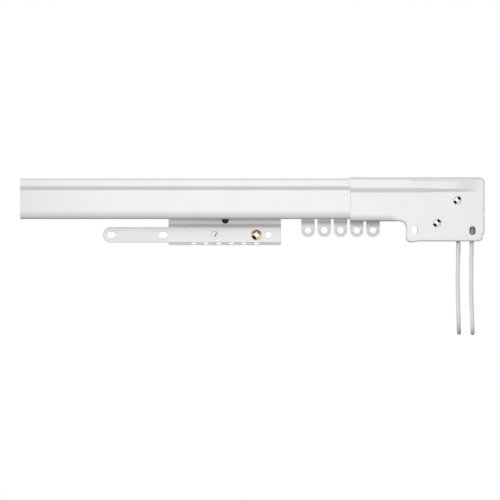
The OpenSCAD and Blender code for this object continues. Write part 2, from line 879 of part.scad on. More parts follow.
module left_wall_bracket() {
    wall_bracket(left_bracket_x, hook_mid, hook_shelf, hook_up);
}

module right_wall_bracket() {
    wall_bracket(right_bracket_x, back_y - run_gap - strap_t / 2, right_shelf, tongue_up);
}

// Cord that runs over the pulleys inside the housing and the rail
bend_down = 6;
bend_z = lower_z - bend_down;
bend_r = 8;
to_bend = [exit_b - lower_x, bend_z - lower_z];
leave = atan2(to_bend[1], to_bend[0]) + acos(lower_pulley_r / norm(to_bend));
bend_back = bend_r * tan(leave / 2);

function wrap(x, z, r, from, to, steps) =
    [for (i = [0 : steps])
        let (a = from + (to - from) * i / steps)
        [x + r * cos(a), cord_y, z + r * sin(a)]];

drive_route = concat(
    [[exit_a, cord_y, housing_z0]],
    wrap(upper_x, upper_z, upper_pulley_r, 0, 90, 10),
    wrap(return_x, return_z, return_pulley_r, 90, 270, 18),
    wrap(lower_x, lower_z, lower_pulley_r, 90, leave, 6),
    wrap(exit_b - bend_r, bend_z - bend_back, bend_r, leave, 0, 4),
    [[exit_b, cord_y, housing_z0]]
);

module drive_cord() {
    color(cord_colour) tube(drive_route, cord_d, 8, [0, 1, 0]);
}

module cord_strand_a() {
    color(cord_colour) tube(strand_a, cord_d, 8, [1, 0, 0]);
}

module cord_strand_b() {
    color(cord_colour) tube(strand_b, cord_d, 8, [1, 1, 0]);
}

// Coil: it spirals in and out at a steady rate and climbs a layer in the half turn of each reversal
layer_span = coil_turns + climb;
coil_end = (coil_layers - 1) * layer_span + coil_last_turns;

function coil_layer(turn) = min(floor(turn / layer_span), coil_layers - 1);
function coil_into(turn) = turn - coil_layer(turn) * layer_span;
function coil_fold(turn) =
    let (into = coil_into(turn))
    let (turn_back = coil_layer(turn) < coil_layers - 1 && into > coil_turns + climb / 2)
    turn_back ? 2 * coil_turns + climb - into : into;
function coil_radius(turn) =
    coil_layer(turn) % 2 == 0
        ? coil_r - coil_step * coil_fold(turn)
        : coil_in + coil_step * coil_fold(turn);
function coil_climb(turn) =
    let (share = max(0, min(1, (coil_into(turn) - coil_turns) / climb)))
    coil_layer(turn) == coil_layers - 1 ? 0 : share * share * (3 - 2 * share);
function coil_point(turn) = [
    coil_x + coil_radius(turn) * cos(360 * turn),
    coil_front + coil_step * (coil_layer(turn) + coil_climb(turn)),
    coil_z + coil_radius(turn) * sin(360 * turn)
];

coil_route = concat(
    [coil_point(0) - [0, 0, cord_d]],
    [for (i = [0 : coil_end * coil_rings]) coil_point(i / coil_rings)],
    [coil_point(coil_end) + [cord_d, 0, 0]]
);

// Least gap between stretches of the coil that are half a turn or more apart along it
function coil_gap() =
    let (n = len(coil_route))
    let (away = coil_rings / 2)
    min([for (i = [0 : n - 1], j = [i + away : n - 1]) norm(coil_route[i] - coil_route[j])]) - cord_d;

module cord_coil() {
    echo(least_gap_in_the_coil = coil_gap());
    color(cord_colour) tube(coil_route, cord_d, 6, [0, 1, 0]);
}

module coil_tie() {
    x0 = coil_x - coil_r - cord_r - tie_gap;
    inner_r = coil_in - cord_r;
    x1 = coil_x - sqrt(inner_r * inner_r - tie_w * tie_w / 4) + 2 * tie_gap;
    y0 = coil_front - cord_r - tie_gap;
    y1 = coil_front + (coil_layers - 1) * coil_step + cord_r + tie_gap;
    color("dimgray") difference() {
        box([x0 - tie_t, y0 - tie_t, coil_z - tie_w / 2], [x1 + tie_t, y1 + tie_t, coil_z + tie_w / 2]);
        box([x0, y0, coil_z - tie_w], [x1, y1, coil_z + tie_w]);
    }
}

rail();
end_housing();
housing_back();
cord_guide();
upper_pulley();
lower_pulley();
upper_axle();
lower_axle();
end_pulley_block();
return_pulley();
return_axle();
master_carrier();
cord_clamp();
cord_clamp_screw();
glider_1();
glider_2();
glider_3();
glider_4();
support_clip();
pivot_rivet();
support_channel();
support_arm();
arm_screw();
arm_nut();
left_wall_bracket();
right_wall_bracket();
drive_cord();
cord_strand_a();
cord_strand_b();
cord_coil();
coil_tie();
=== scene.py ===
"""Looks of the corded curtain track: camera and light, cords, pressed sheet, mouldings and fasteners."""
import json
import math

import bmesh
import bpy
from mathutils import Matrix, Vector
from mathutils.geometry import delaunay_2d_cdt


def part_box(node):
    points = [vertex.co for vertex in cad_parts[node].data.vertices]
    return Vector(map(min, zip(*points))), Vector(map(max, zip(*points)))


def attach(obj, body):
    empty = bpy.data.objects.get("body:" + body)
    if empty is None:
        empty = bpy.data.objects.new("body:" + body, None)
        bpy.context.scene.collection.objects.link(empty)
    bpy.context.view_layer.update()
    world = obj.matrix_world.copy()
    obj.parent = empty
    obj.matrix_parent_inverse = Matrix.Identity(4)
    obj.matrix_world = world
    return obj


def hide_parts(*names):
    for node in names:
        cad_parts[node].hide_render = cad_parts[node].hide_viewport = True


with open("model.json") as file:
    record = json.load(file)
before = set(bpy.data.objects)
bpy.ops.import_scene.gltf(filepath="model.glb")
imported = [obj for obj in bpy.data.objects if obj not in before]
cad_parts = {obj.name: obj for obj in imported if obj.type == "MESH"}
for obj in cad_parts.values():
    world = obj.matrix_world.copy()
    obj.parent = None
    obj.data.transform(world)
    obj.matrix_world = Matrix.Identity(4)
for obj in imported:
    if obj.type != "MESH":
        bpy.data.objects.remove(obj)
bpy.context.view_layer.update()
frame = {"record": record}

MM = 0.001
TAU = 2 * math.pi
RECORD = frame["record"]
BODY_OF = {node: body for body, nodes in RECORD["behaviour"]["bodies"].items() for node in nodes}
SLOT_OF = {part["node"]: part["material_slot"] for part in RECORD["subparts"]}
FINISHES = {}
# Attribute that holds the knit's heights, from which the cord's material paints shade into its grooves
KNIT_LAYER = "knit_height"
SAME_POINT = 1e-4
MERGE_DISTANCE = 2e-7
FILL_CLOSENESS = 1e-6
LEAST_MITRE = 0.2
EDGE_ANGLE = 35
OVERCUT = 1
SQUARE = ((-1, -1), (1, -1), (1, 1), (-1, 1))


def add_object(name, data):
    """Puts a new object in the scene."""
    made = bpy.data.objects.new(name, data)
    bpy.context.scene.collection.objects.link(made)
    return made


# Camera: level, square to the track and far away, so that the view has almost no perspective
VIEW_WIDTH = 0.375
VIEW_CENTRE_Z = -0.03025
CAMERA_DISTANCE = 6.0
SENSOR_WIDTH = 36


def add_camera():
    """Looks along +Y at the front of the housing, with a frame of VIEW_WIDTH there."""
    data = bpy.data.cameras.new("photo_camera")
    data.sensor_width = SENSOR_WIDTH
    data.lens = SENSOR_WIDTH * CAMERA_DISTANCE / VIEW_WIDTH
    camera = add_object("photo_camera", data)
    camera.location = (0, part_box("end_housing")[0].y - CAMERA_DISTANCE, VIEW_CENTRE_Z)
    camera.rotation_euler = (math.radians(90), 0, 0)
    bpy.context.scene.camera = camera


# Finishes. A noise's scale is in waves per metre, and a bump's depth is in millimetres.
def set_inputs(node, values):
    for name, value in values.items():
        node.inputs[name.replace("_", " ")].default_value = value


def add_node(near, kind, **values):
    """Node in the same tree as another, with values on its inputs."""
    node = near.id_data.nodes.new("ShaderNode" + kind)
    set_inputs(node, values)
    return node


def feed(node, name, value):
    """Links a value to one of a node's inputs."""
    node.id_data.links.new(value, node.inputs[name])


def new_material(slot, **values):
    """Shader of a new material, with its uniform values."""
    FINISHES[slot] = bpy.data.materials.new(slot)
    FINISHES[slot].use_nodes = True
    shader = FINISHES[slot].node_tree.nodes["Principled BSDF"]
    set_inputs(shader, values)
    return shader


def add_noise(shader, scale, detail=2.0):
    """Noise over the piece's own coordinates."""
    noise = add_node(shader, "TexNoise", Scale=scale, Detail=detail)
    feed(noise, "Vector", add_node(shader, "TexCoord").outputs["Object"])
    return noise.outputs["Fac"]


def add_ramp(near, value, low, high, start, end):
    """Colour that goes from low to high as a value does from start to end."""
    ramp = add_node(near, "ValToRGB")
    for element, position, colour in zip(ramp.color_ramp.elements, (start, end), (low, high)):
        element.position = position
        element.color = (*colour, 1)
    feed(ramp, "Fac", value)
    return ramp.outputs["Color"]


def paint(shader, value, low, high, start=0.3, end=0.7):
    feed(shader, "Base Color", add_ramp(shader, value, low, high, start, end))


def vary_roughness(shader, value, low, high):
    spread = add_node(shader, "MapRange", To_Min=low, To_Max=high)
    feed(spread, "Value", value)
    feed(shader, "Roughness", spread.outputs["Result"])


def add_bump(shader, value, depth, strength):
    bump = add_node(shader, "Bump", Strength=strength, Distance=depth * MM)
    feed(bump, "Height", value)
    feed(shader, "Normal", bump.outputs["Normal"])


def make_enamel():
    shader = new_material("enamel", Roughness=0.32, Coat_Weight=0.25, Coat_Roughness=0.12)
    paint(shader, add_noise(shader, 45), (0.845, 0.845, 0.842), (0.875, 0.875, 0.873))
    peel = add_noise(shader, 700, 3)
    vary_roughness(shader, peel, 0.26, 0.38)
    add_bump(shader, peel, 0.012, 0.5)


def make_grained(slot, dark, bright, **values):
    """Moulding or coating with a fine grain."""
    shader = new_material(slot, **values)
    grain = add_noise(shader, 900, 4)
    paint(shader, grain, dark, bright)
    add_bump(shader, grain, 0.02, 0.4)


def make_eye_plastic():
    shader = new_material("eye_plastic", Roughness=0.3, Transmission_Weight=0.12, IOR=1.46)
    paint(shader, add_noise(shader, 160, 3), (0.9, 0.915, 0.93), (0.95, 0.96, 0.97))
    add_bump(shader, add_noise(shader, 1200), 0.01, 0.3)


def make_metal(slot, dark, bright, roughness):
    """Bright plate with faint handling marks."""
    shader = new_material(slot, Metallic=1.0, Roughness=roughness)
    paint(shader, add_noise(shader, 500, 4), dark, bright)
    scuffs = add_noise(shader, 250, 6)
    vary_roughness(shader, scuffs, roughness * 0.6, roughness * 1.5)
    add_bump(shader, scuffs, 0.01, 0.2)


def make_knit():
    shader = new_material("cord", Roughness=0.8, Sheen_Weight=0.2, Sheen_Roughness=0.5)
    # The knit's grooves are painted dark and its crests light: painted shade in the grooves, following the
    # knit's heights
    groove_shade = add_node(shader, "Attribute")
    groove_shade.attribute_name = KNIT_LAYER
    paint(shader, groove_shade.outputs["Fac"], (0.42, 0.41, 0.38), (0.98, 0.97, 0.94), 0.05, 0.6)
    add_bump(shader, add_noise(shader, 1500, 4), 0.08, 0.6)


def make_woven_strap():
    """Three sets of threads, each added to half of those before it."""
    shader = new_material("tie", Roughness=0.85, Sheen_Weight=0.15)
    place = add_node(shader, "TexCoord").outputs["Object"]
    weave = None
    for direction in "XYZ":
        wave = add_node(shader, "TexWave", Scale=420)
        wave.bands_direction = direction
        feed(wave, "Vector", place)
        band = wave.outputs["Fac"]
        if weave is not None:
            add = add_node(shader, "Math")
            add.operation = "MULTIPLY_ADD"
            feed(add, 0, weave)
            add.inputs[1].default_value = 0.5
            feed(add, 2, band)
            band = add.outputs["Value"]
        weave = band
    paint(shader, weave, (0.55, 0.54, 0.5), (0.78, 0.77, 0.73), 0.2, 1)
    add_bump(shader, weave, 0.15, 0.8)


def make_finishes():
    make_enamel()
    make_grained("white_plastic", (0.76, 0.76, 0.74), (0.82, 0.82, 0.80), Roughness=0.45,
                 Subsurface_Weight=0.1, Subsurface_Radius=(0.002, 0.002, 0.002))
    make_eye_plastic()
    make_metal("nickel", (0.70, 0.69, 0.67), (0.80, 0.79, 0.77), 0.1)
    make_metal("warm_nickel", (0.66, 0.50, 0.38), (0.80, 0.68, 0.56), 0.16)
    make_grained("black_rivet", (0.004, 0.004, 0.004), (0.014, 0.014, 0.014), Roughness=0.5,
                 Specular_IOR_Level=0.3)
    make_knit()
    make_woven_strap()


# Outlines. A corner is (u, v, radius).
def quarter_turn(steps):
    """Evenly spaced angles from 0 to a right angle."""
    return [math.pi / 2 * i / steps for i in range(steps + 1)]


def corner_arc(before, corner, after, radius, steps):
    """Points of the arc that rounds one corner of an outline."""
    corner = Vector(corner)
    u = (Vector(before) - corner).normalized()
    v = (Vector(after) - corner).normalized()
    half = u.angle(v) / 2
    centre = corner + (u + v).normalized() * radius / math.sin(half)
    start = corner + u * radius / math.tan(half) - centre
    end = corner + v * radius / math.tan(half) - centre
    first = math.atan2(start.y, start.x)
    sweep = (math.atan2(end.y, end.x) - first + 3 * math.pi) % TAU - math.pi
    angles = [first + sweep * i / steps for i in range(steps + 1)]
    return [centre + radius * Vector((math.cos(a), math.sin(a))) for a in angles]


def without_doubles(points, closed):
    """Points without those that lie on the one before, as where two full rounds meet."""
    kept = points[:1]
    for point in points[1:]:
        if (point - kept[-1]).length > SAME_POINT:
            kept.append(point)
    if closed and (kept[-1] - kept[0]).length <= SAME_POINT:
        kept.pop()
    return kept


def rounded(corners, closed=False, steps=8):
    """Outline through corners, each rounded by its own radius."""
    points = []
    count = len(corners)
    for i, (u, v, radius) in enumerate(corners):
        is_end = not closed and i in (0, count - 1)
        if radius == 0 or is_end:
            points.append(Vector((u, v)))
        else:
            after = corners[(i + 1) % count]
            points += corner_arc(corners[i - 1][:2], (u, v), after[:2], radius, steps)
    return without_doubles(points, closed)


def rectangle(u0, u1, v0, v1):
    return [Vector(p) for p in ((u0, v0), (u1, v0), (u1, v1), (u0, v1))]


def rounded_rectangle(u0, u1, v0, v1, radius):
    return rounded([(*p, radius) for p in rectangle(u0, u1, v0, v1)], True)


def around(u, v, radius, angle):
    """Point at an angle round a centre."""
    return u + radius * math.cos(angle), v + radius * math.sin(angle)


def circle(u, v, radius, steps=40):
    return [Vector(around(u, v, radius, TAU * i / steps)) for i in range(steps)]


def slot_outline(u, v, length, width, upright=False, steps=16):
    """Outline of a slot with round ends."""
    reach = (length - width) / 2
    points = []
    for side in (0, 1):
        for i in range(steps + 1):
            angle = math.pi * (side + i / steps) - math.pi / 2
            along = width / 2 * math.cos(angle) + (reach if side == 0 else -reach)
            across = width / 2 * math.sin(angle)
            points.append(Vector((u - across, v + along) if upright else (u + along, v + across)))
    return points


def wound(loop, left):
    """Loop with its inside on the left, or on the right."""
    turned_area = sum(a.x * b.y - b.x * a.y for a, b in zip(loop, loop[1:] + loop[:1]))
    return loop if (turned_area > 0) == left else loop[::-1]


def normals_along(path, closed):
    """Mitred left-hand normals of a path."""
    count = len(path)
    result = []
    for i in range(count):
        before = path[i] - path[i - 1] if closed or i > 0 else path[1] - path[0]
        after = path[(i + 1) % count] - path[i] if closed or i < count - 1 else before
        a = Vector((-before.y, before.x)).normalized()
        b = Vector((-after.y, after.x)).normalized()
        middle = (a + b).normalized()
        result.append(middle / max(middle.dot(a), LEAST_MITRE))
    return result


def moved(loop, distance):
    """Closed loop moved to its left."""
    return [p + n * distance for p, n in zip(loop, normals_along(loop, True))]


def sheet_outline(path, thickness, round_end):
    """Closed outline of a bent sheet whose middle follows an open path; its last edge may be round."""
    normals = normals_along(path, False)
    half = thickness / 2
    left = [p + n * half for p, n in zip(path, normals)]
    right = [p - n * half for p, n in zip(path, normals)]
    nose = []
    if round_end:
        side, forward = normals[-1], (path[-1] - path[-2]).normalized()
        turns = [2 * a for a in quarter_turn(8)]
        nose = [path[-1] + half * (side * math.cos(t) + forward * (math.sin(t) - 1)) for t in turns]
        left, right = left[:-1], right[:-1]
    return left + nose + right[::-1]


def is_inside(point, loop):
    """Whether a point lies in a closed loop."""
    inside = False
    for a, b in zip(loop, loop[1:] + loop[:1]):
        if (a.y > point.y) != (b.y > point.y):
            if point.x < a.x + (point.y - a.y) / (b.y - a.y) * (b.x - a.x):
                inside = not inside
    return inside


# Meshes, in millimetres. A place maps (u, v, along) to a point.
def along_x(u, v, along):
    return (along, u, v)


def along_y(u, v, along):
    return (u, along, v)


def along_z(u, v, along):
    return (u, v, along)


def ring_faces(rings, count, first=0, closed=False):
    """Faces between neighbouring rings of count points, numbered from first."""
    faces = []
    for k in range(rings if closed else rings - 1):
        a, b = first + k * count, first + (k + 1) % rings * count
        faces += [(a + i, a + (i + 1) % count, b + (i + 1) % count, b + i) for i in range(count)]
    return faces


def prism(outline, place, start, end):
    """Closed outline drawn out along a line."""
    n = len(outline)
    verts = [place(p.x, p.y, along) for along in (start, end) for p in outline]
    return verts, ring_faces(2, n) + [tuple(range(n)), tuple(range(n, 2 * n))]


def through(outline, low, high):
    """Cutter that an outline makes from the front of a solid to its back."""
    return prism(outline, along_y, low.y - OVERCUT, high.y + OVERCUT)


def filled(loops, extra=()):
    """Points and triangles that fill the first loop apart from the others, through extra points."""
    points, edges = [], []
    for loop in loops:
        first = len(points)
        points += loop
        edges += [(first + i, first + (i + 1) % len(loop)) for i in range(len(loop))]
    points += extra
    verts, _, faces, *_ = delaunay_2d_cdt(points, edges, [], 0, FILL_CLOSENESS)
    kept = []
    for face in faces:
        middle = sum((verts[i] for i in face), Vector((0, 0))) / len(face)
        if is_inside(middle, loops[0]) and not any(is_inside(middle, hole) for hole in loops[1:]):
            kept.append(tuple(face))
    return verts, kept


def plate(outline, holes, place, start, end, edge=0.2, steps=3):
    """Flat plate between start and end, with its edges rounded on both faces."""
    loops = [wound(outline, True)] + [wound(hole, False) for hole in holes]
    verts, faces = [], []
    rise = [(edge * (1 - math.sin(a)), start + edge * (1 - math.cos(a))) for a in quarter_turn(steps)]
    profile = rise + [(inset, start + end - along) for inset, along in rise[::-1]]
    for loop in loops:
        faces += ring_faces(len(profile), len(loop), len(verts))
        for inset, along in profile:
            verts += [place(p.x, p.y, along) for p in moved(loop, inset)]
    for along in (start, end):
        points, triangles = filled([moved(loop, edge) for loop in loops])
        faces += [tuple(len(verts) + i for i in t) for t in triangles]
        verts += [place(p.x, p.y, along) for p in points]
    return verts, faces


def lathe(profile, u, v, place, closed=False, steps=64):
    """Profile of (radius, along) points turned round a line."""
    verts = []
    for radius, along in profile:
        verts += [place(*around(u, v, radius, TAU * i / steps), along) for i in range(steps)]
    return verts, ring_faces(len(profile), steps, closed=closed)


def add_piece(name, mesh_parts, heights=()):
    """Object of one mesh given in millimetres; heights are those of a knit at its points."""
    verts, faces = mesh_parts
    work = bmesh.new()
    layer = work.verts.layers.float.new(KNIT_LAYER) if heights else None
    made = [work.verts.new(Vector(v) * MM) for v in verts]
    for vert, height in zip(made, heights):
        vert[layer] = height
    for face in faces:
        if len(set(face)) == len(face):
            work.faces.new([made[i] for i in face])
    bmesh.ops.remove_doubles(work, verts=work.verts, dist=MERGE_DISTANCE)
    bmesh.ops.dissolve_degenerate(work, edges=work.edges, dist=MERGE_DISTANCE)
    bmesh.ops.recalc_face_normals(work, faces=work.faces)
    mesh = bpy.data.meshes.new(name)
    work.to_mesh(mesh)
    work.free()
    return add_object(name, mesh)


def add_sheet(name, path, thickness, low, high, round_end=False):
    """Sheet that is bent along a path and runs along X between two corners."""
    return add_piece(name, prism(sheet_outline(path, thickness, round_end), along_x, low.x, high.x))


def add_turned(name, node, profile, closed=False, steps=64):
    """Piece that a profile makes, turned round the middle of a solid along Y."""
    middle = span(node)[2]
    return add_piece(name, lathe(profile, middle.x, middle.z, along_y, closed, steps))


def settle(piece):
    """Turns a piece's modifiers into its mesh."""
    bpy.context.view_layer.update()
    graph = bpy.context.evaluated_depsgraph_get()
    mesh = bpy.data.meshes.new_from_object(piece.evaluated_get(graph))
    old = piece.data
    piece.modifiers.clear()
    piece.data = mesh
    bpy.data.meshes.remove(old)


def combine(piece, operation, *others):
    """Cuts the other objects out of a piece, or joins them to it."""
    for other in others:
        boolean = piece.modifiers.new("boolean", "BOOLEAN")
        boolean.operation = operation
        boolean.solver = "EXACT"
        boolean.object = other
    settle(piece)
    for other in others:
        bpy.data.objects.remove(other)


def drill(piece, *cutters):
    combine(piece, "DIFFERENCE", *(add_piece("cutter", cutter) for cutter in cutters))


def finish_piece(piece, slot, body, edge, angle=EDGE_ANGLE):
    """Rounds a piece's sharp edges, gives it its finish and puts it on its body."""
    piece.data.materials.clear()
    piece.data.materials.append(FINISHES[slot])
    for polygon in piece.data.polygons:
        polygon.use_smooth = True
        polygon.material_index = 0
    if edge:
        bevel = piece.modifiers.new("edges", "BEVEL")
        bevel.width = edge * MM
        bevel.segments = 2
        bevel.limit_method = "ANGLE"
        bevel.angle_limit = math.radians(angle)
        bevel.use_clamp_overlap = True
    weighted = piece.modifiers.new("normals", "WEIGHTED_NORMAL")
    weighted.keep_sharp = True
    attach(piece, body)


def dress(piece, *nodes, edge, angle=EDGE_ANGLE):
    """Finishes a piece and puts it in place of its solids."""
    finish_piece(piece, SLOT_OF[nodes[0]], BODY_OF[nodes[0]], edge, angle)
    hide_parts(*nodes)


def span(node):
    """Lowest corner, highest corner and middle of a solid at rest, in millimetres."""
    low, high = (Vector(corner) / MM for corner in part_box(node))
    return low, high, (low + high) / 2


# Cords, in metres. The strands' points are in millimetres from their bores.
CORD_D = 0.0032
BORE_A = Vector((0.1665, -0.031, -0.0238))
BORE_B = Vector((0.1564, -0.031, -0.0238))
STRAND_A = [
    (0, 0, 0), (0, 0, -3.9), (-0.2, 0, -13.9), (-0.3, 0, -23.9), (-0.4, 0, -33.9), (-0.2, 0, -43.9),
    (0.2, 0, -53.9), (0.5, 0, -61.9), (0.7, 0.9, -65.4), (0.8, 3.5, -68), (0.9, 7, -68.9),
    (1, 10.5, -68), (1, 13.1, -65.4), (0.9, 14, -61.9), (0.4, 14, -48.9), (0, 14, -33.9),
    (0.1, 14, -18.9), (0.4, 14, -2.9), (0.7, 14, 15.8), (0.7, 14, 22)
]
STRAND_B = [
    (-7.4, 24.95, 6.54), (-5.9, 24.95, 6.54), (-3.7, 24.95, 6.1), (-1.3, 24.95, 4.6), (0.2, 24.95, 2.3),
    (0.6, 24.95, 0), (0.4, 24.95, -16.9), (0.4, 24.95, -36.9), (0.9, 24.95, -56.1), (1, 23.3, -62.3),
    (1, 18.7, -66.9), (0.9, 12.5, -68.6), (0.7, 6.2, -66.9), (0.4, 1.7, -62.3), (0.2, 0, -56.1),
    (-0.2, 0, -42.9), (-0.4, 0, -29.9), (-0.2, 0, -15.9), (0, 0, -3.9), (0, 0, 0)
]
COIL_CENTRE = Vector((0.1458, -0.017, 0.0014))
COIL_R = 0.0214
COIL_STEP = 0.00365
COIL_TURNS = 2.5
COIL_CLIMB = 0.5
COIL_LAYERS = 4
COIL_LAST_TURNS = 1.75
COIL_POINTS = 24
LAYER_SPAN = COIL_TURNS + COIL_CLIMB
LEAST_GAP = 1e-5
CURVE_STEPS = 12
KNIT_COLUMNS = 5
KNIT_SLOPE = 0.8
KNIT_STITCH = 0.002
KNIT_DEPTH = 0.00024
KNIT_SIDES = 25
KNIT_RINGS = 5


def clamped(share):
    return max(0.0, min(1.0, share))


def smooth_step(share):
    share = clamped(share)
    return share * share * (3 - 2 * share)


def coil_point(turn):
    """Point of the coil: it spirals in and out, and climbs a layer in the half turn of each reversal."""
    layer = min(math.floor(turn / LAYER_SPAN), COIL_LAYERS - 1)
    into = turn - layer * LAYER_SPAN
    is_last = layer == COIL_LAYERS - 1
    turns_back = not is_last and into > COIL_TURNS + COIL_CLIMB / 2
    fold = 2 * COIL_TURNS + COIL_CLIMB - into if turns_back else into
    inner = COIL_R - COIL_TURNS * COIL_STEP
    radius = COIL_R - COIL_STEP * fold if layer % 2 == 0 else inner + COIL_STEP * fold
    climb = 0 if is_last else smooth_step((into - COIL_TURNS) / COIL_CLIMB)
    x, z = around(0, 0, radius, TAU * turn)
    return COIL_CENTRE + Vector((x, COIL_STEP * (layer + climb), z))


def draw_cord_route():
    """Points of the whole free cord, from one bore through the coil to the other."""
    coil_end = (COIL_LAYERS - 1) * LAYER_SPAN + COIL_LAST_TURNS
    coil = [coil_point(i / COIL_POINTS) for i in range(int(coil_end * COIL_POINTS) + 1)]
    first = [BORE_A + Vector(p) * MM for p in STRAND_A]
    last = [BORE_B + Vector(p) * MM for p in STRAND_B]
    return first + coil + last


def smooth_curve(points):
    """Points close together on a smooth curve through a route."""
    points = points[:1] + [b for a, b in zip(points, points[1:]) if (b - a).length > LEAST_GAP]
    gaps = [(b - a).length for a, b in zip(points, points[1:])]
    slopes = [(b - a) / g for a, b, g in zip(points, points[1:], gaps)]
    tangents = [slopes[0]]
    for i in range(1, len(points) - 1):
        tangents.append((slopes[i - 1] * gaps[i] + slopes[i] * gaps[i - 1]) / (gaps[i - 1] + gaps[i]))
    tangents.append(slopes[-1])
    curve = []
    for i, gap in enumerate(gaps):
        for k in range(CURVE_STEPS):
            t = k / CURVE_STEPS
            curve.append(
                points[i] * (2 * t**3 - 3 * t**2 + 1) + tangents[i] * gap * (t**3 - 2 * t**2 + t)
                + points[i + 1] * (3 * t**2 - 2 * t**3) + tangents[i + 1] * gap * (t**3 - t**2)
            )
    return curve + [points[-1]]


def evenly_spaced(curve, spacing):
    """Points at equal steps along a curve."""
    lengths = [(b - a).length for a, b in zip(curve, curve[1:])]
    count = round(sum(lengths) / spacing)
    step = sum(lengths) / count
    even, covered, i = [curve[0]], 0.0, 0
    for k in range(1, count):
        while covered + lengths[i] < k * step:
            covered += lengths[i]
            i += 1
        even.append(curve[i].lerp(curve[i + 1], (k * step - covered) / lengths[i]))
    return even + [curve[-1]]


def knit_height(across, along):
    """Height of the knit, from 0 to 1: smooth columns, with a row of deep stitches in each valley."""
    valley = (1 - math.sin(math.pi * across)) ** KNIT_SLOPE
    stitch = along / KNIT_STITCH + abs(across - 0.5)
    return 1 - valley * (1 + math.cos(TAU * stitch)) / 2


def cord_frames(line):
    """Two directions across the cord at each point of its line, carried along without a twist."""
    side = Vector((1, 0, 0))
    frames = []
    for i in range(len(line)):
        forward = (line[min(i + 1, len(line) - 1)] - line[max(i - 1, 0)]).normalized()
        side = (side - forward * side.dot(forward)).normalized()
        frames.append((side, forward.cross(side)))
    return frames


def phase_at_front(side, up):
    """Phase that turns the middle of a column of stitches to the front of the cord."""
    turn = math.atan2(-up.y, -side.y) / TAU
    return 0.5 - (KNIT_COLUMNS * turn) % 1


def add_knit_cord(name, route):
    """Knitted tube along a route, and the points that it follows."""
    line = evenly_spaced(smooth_curve(route), KNIT_STITCH / KNIT_RINGS)
    frames = cord_frames(line)
    first, last = phase_at_front(*frames[0]), phase_at_front(*frames[-1])
    verts, heights = [], []
    along = 0.0
    for i, (point, (side, up)) in enumerate(zip(line, frames)):
        if i:
            along += (point - line[i - 1]).length
        phase = first + (last - first) * smooth_step(i / len(line))
        for k in range(KNIT_SIDES):
            turn = k / KNIT_SIDES
            heights.append(knit_height((KNIT_COLUMNS * turn + phase) % 1, along))
            radius = CORD_D / 2 - KNIT_DEPTH * (1 - heights[-1])
            angle = TAU * turn
            verts.append((point + radius * (side * math.cos(angle) + up * math.sin(angle))) / MM)
    ends = [tuple(range(start, start + KNIT_SIDES)) for start in (0, len(verts) - KNIT_SIDES)]
    return add_piece(name, (verts, ring_faces(len(line), KNIT_SIDES) + ends), heights), line


def add_draw_cord():
    cord, line = add_knit_cord("draw_cord", draw_cord_route())
    dress(cord, "cord_strand_a", "cord_strand_b", "cord_coil", edge=0)


add_camera()
make_finishes()
add_draw_cord()


# Cord over the pulleys inside the housing and the rail, in metres apart from the pulleys' rims
PULLEY_RIM = 1.25
BORE_UP = 0.01
BEND_DOWN = 0.006
BEND_R = 0.008
BEND_STEPS = 8
RUN_SHARES = (0.01, 0.2, 0.4, 0.6, 0.8, 0.99)


def pitch_radius(node):
    low, high, _ = span(node)
    return ((high.x - low.x) / 2 - PULLEY_RIM) * MM


def pulley_arc(node, start, end, steps):
    """Points of the cord round a pulley, from one angle to another in degrees."""
    x, y, z = span(node)[2] * MM
    radius = pitch_radius(node)
    angles = [math.radians(start + (end - start) * i / steps) for i in range(steps + 1)]
    return [Vector((x + radius * math.cos(a), y, z + radius * math.sin(a))) for a in angles]


def level_run(start, x):
    """Points of a level run of the cord from a point to a place along the rail."""
    return [start.lerp(Vector((x, start.y, start.z)), share) for share in RUN_SHARES]


def add_drive_cord():
    lower = span("lower_pulley")[2] * MM
    bend = Vector((BORE_B.x, BORE_B.y, lower.z - BEND_DOWN))
    to_bend = bend - lower
    leave = math.atan2(to_bend.z, to_bend.x) + math.acos(pitch_radius("lower_pulley") / to_bend.length)
    bend_x, bend_z = bend.x - BEND_R, bend.z - BEND_R * math.tan(leave / 2)
    turns = [leave * (1 - i / BEND_STEPS) for i in range(BEND_STEPS + 1)]
    route = [BORE_A, BORE_A + Vector((0, 0, BORE_UP))]
    route += pulley_arc("upper_pulley", 0, 90, 12)
    route += level_run(route[-1], span("return_pulley")[2].x * MM)
    route += pulley_arc("return_pulley", 90, 270, 24)
    route += level_run(route[-1], lower.x)
    route += pulley_arc("lower_pulley", 90, math.degrees(leave), 8)
    route += [Vector((bend_x + BEND_R * math.cos(a), bend.y, bend_z + BEND_R * math.sin(a))) for a in turns]
    route.append(BORE_B)
    cord, _ = add_knit_cord("inner_cord", [Vector((p.x, BORE_A.y, p.z)) for p in route])
    dress(cord, "drive_cord", edge=0)


add_drive_cord()


# Rail
RAIL_T = 0.8
RAIL_BEAD_OUT = 1.2
RAIL_BEAD_H = 4.75
RAIL_STEP_H = 4.8
RAIL_STEP_SHARE = 0.25
RAIL_STEP_R = 3
RAIL_BEAD_R = 1.4
RAIL_FOLD_R = 1.2
RAIL_ROLL_UP = 6.75
RAIL_ROLL_IN = 3
ROLL_POWER = 2.5
ROLL_STEPS = 14
RAIL_TOP_LIP = 7.5
RAIL_BOTTOM_LIP = 6


def rolled_in(share, depth):
    """How far a rolled edge has turned in at a share of its height: slowly at first, then fast."""
    return depth * (1 - (1 - share**ROLL_POWER) ** (1 / ROLL_POWER))


def rolled_corner(front, bottom):
    """Corners along the rail's rolled lower edge, from the panel to the underside."""
    shares = [math.sin(a) for a in quarter_turn(ROLL_STEPS)]
    return [(front + rolled_in(s, RAIL_ROLL_IN), bottom + RAIL_ROLL_UP * (1 - s), 0) for s in shares]


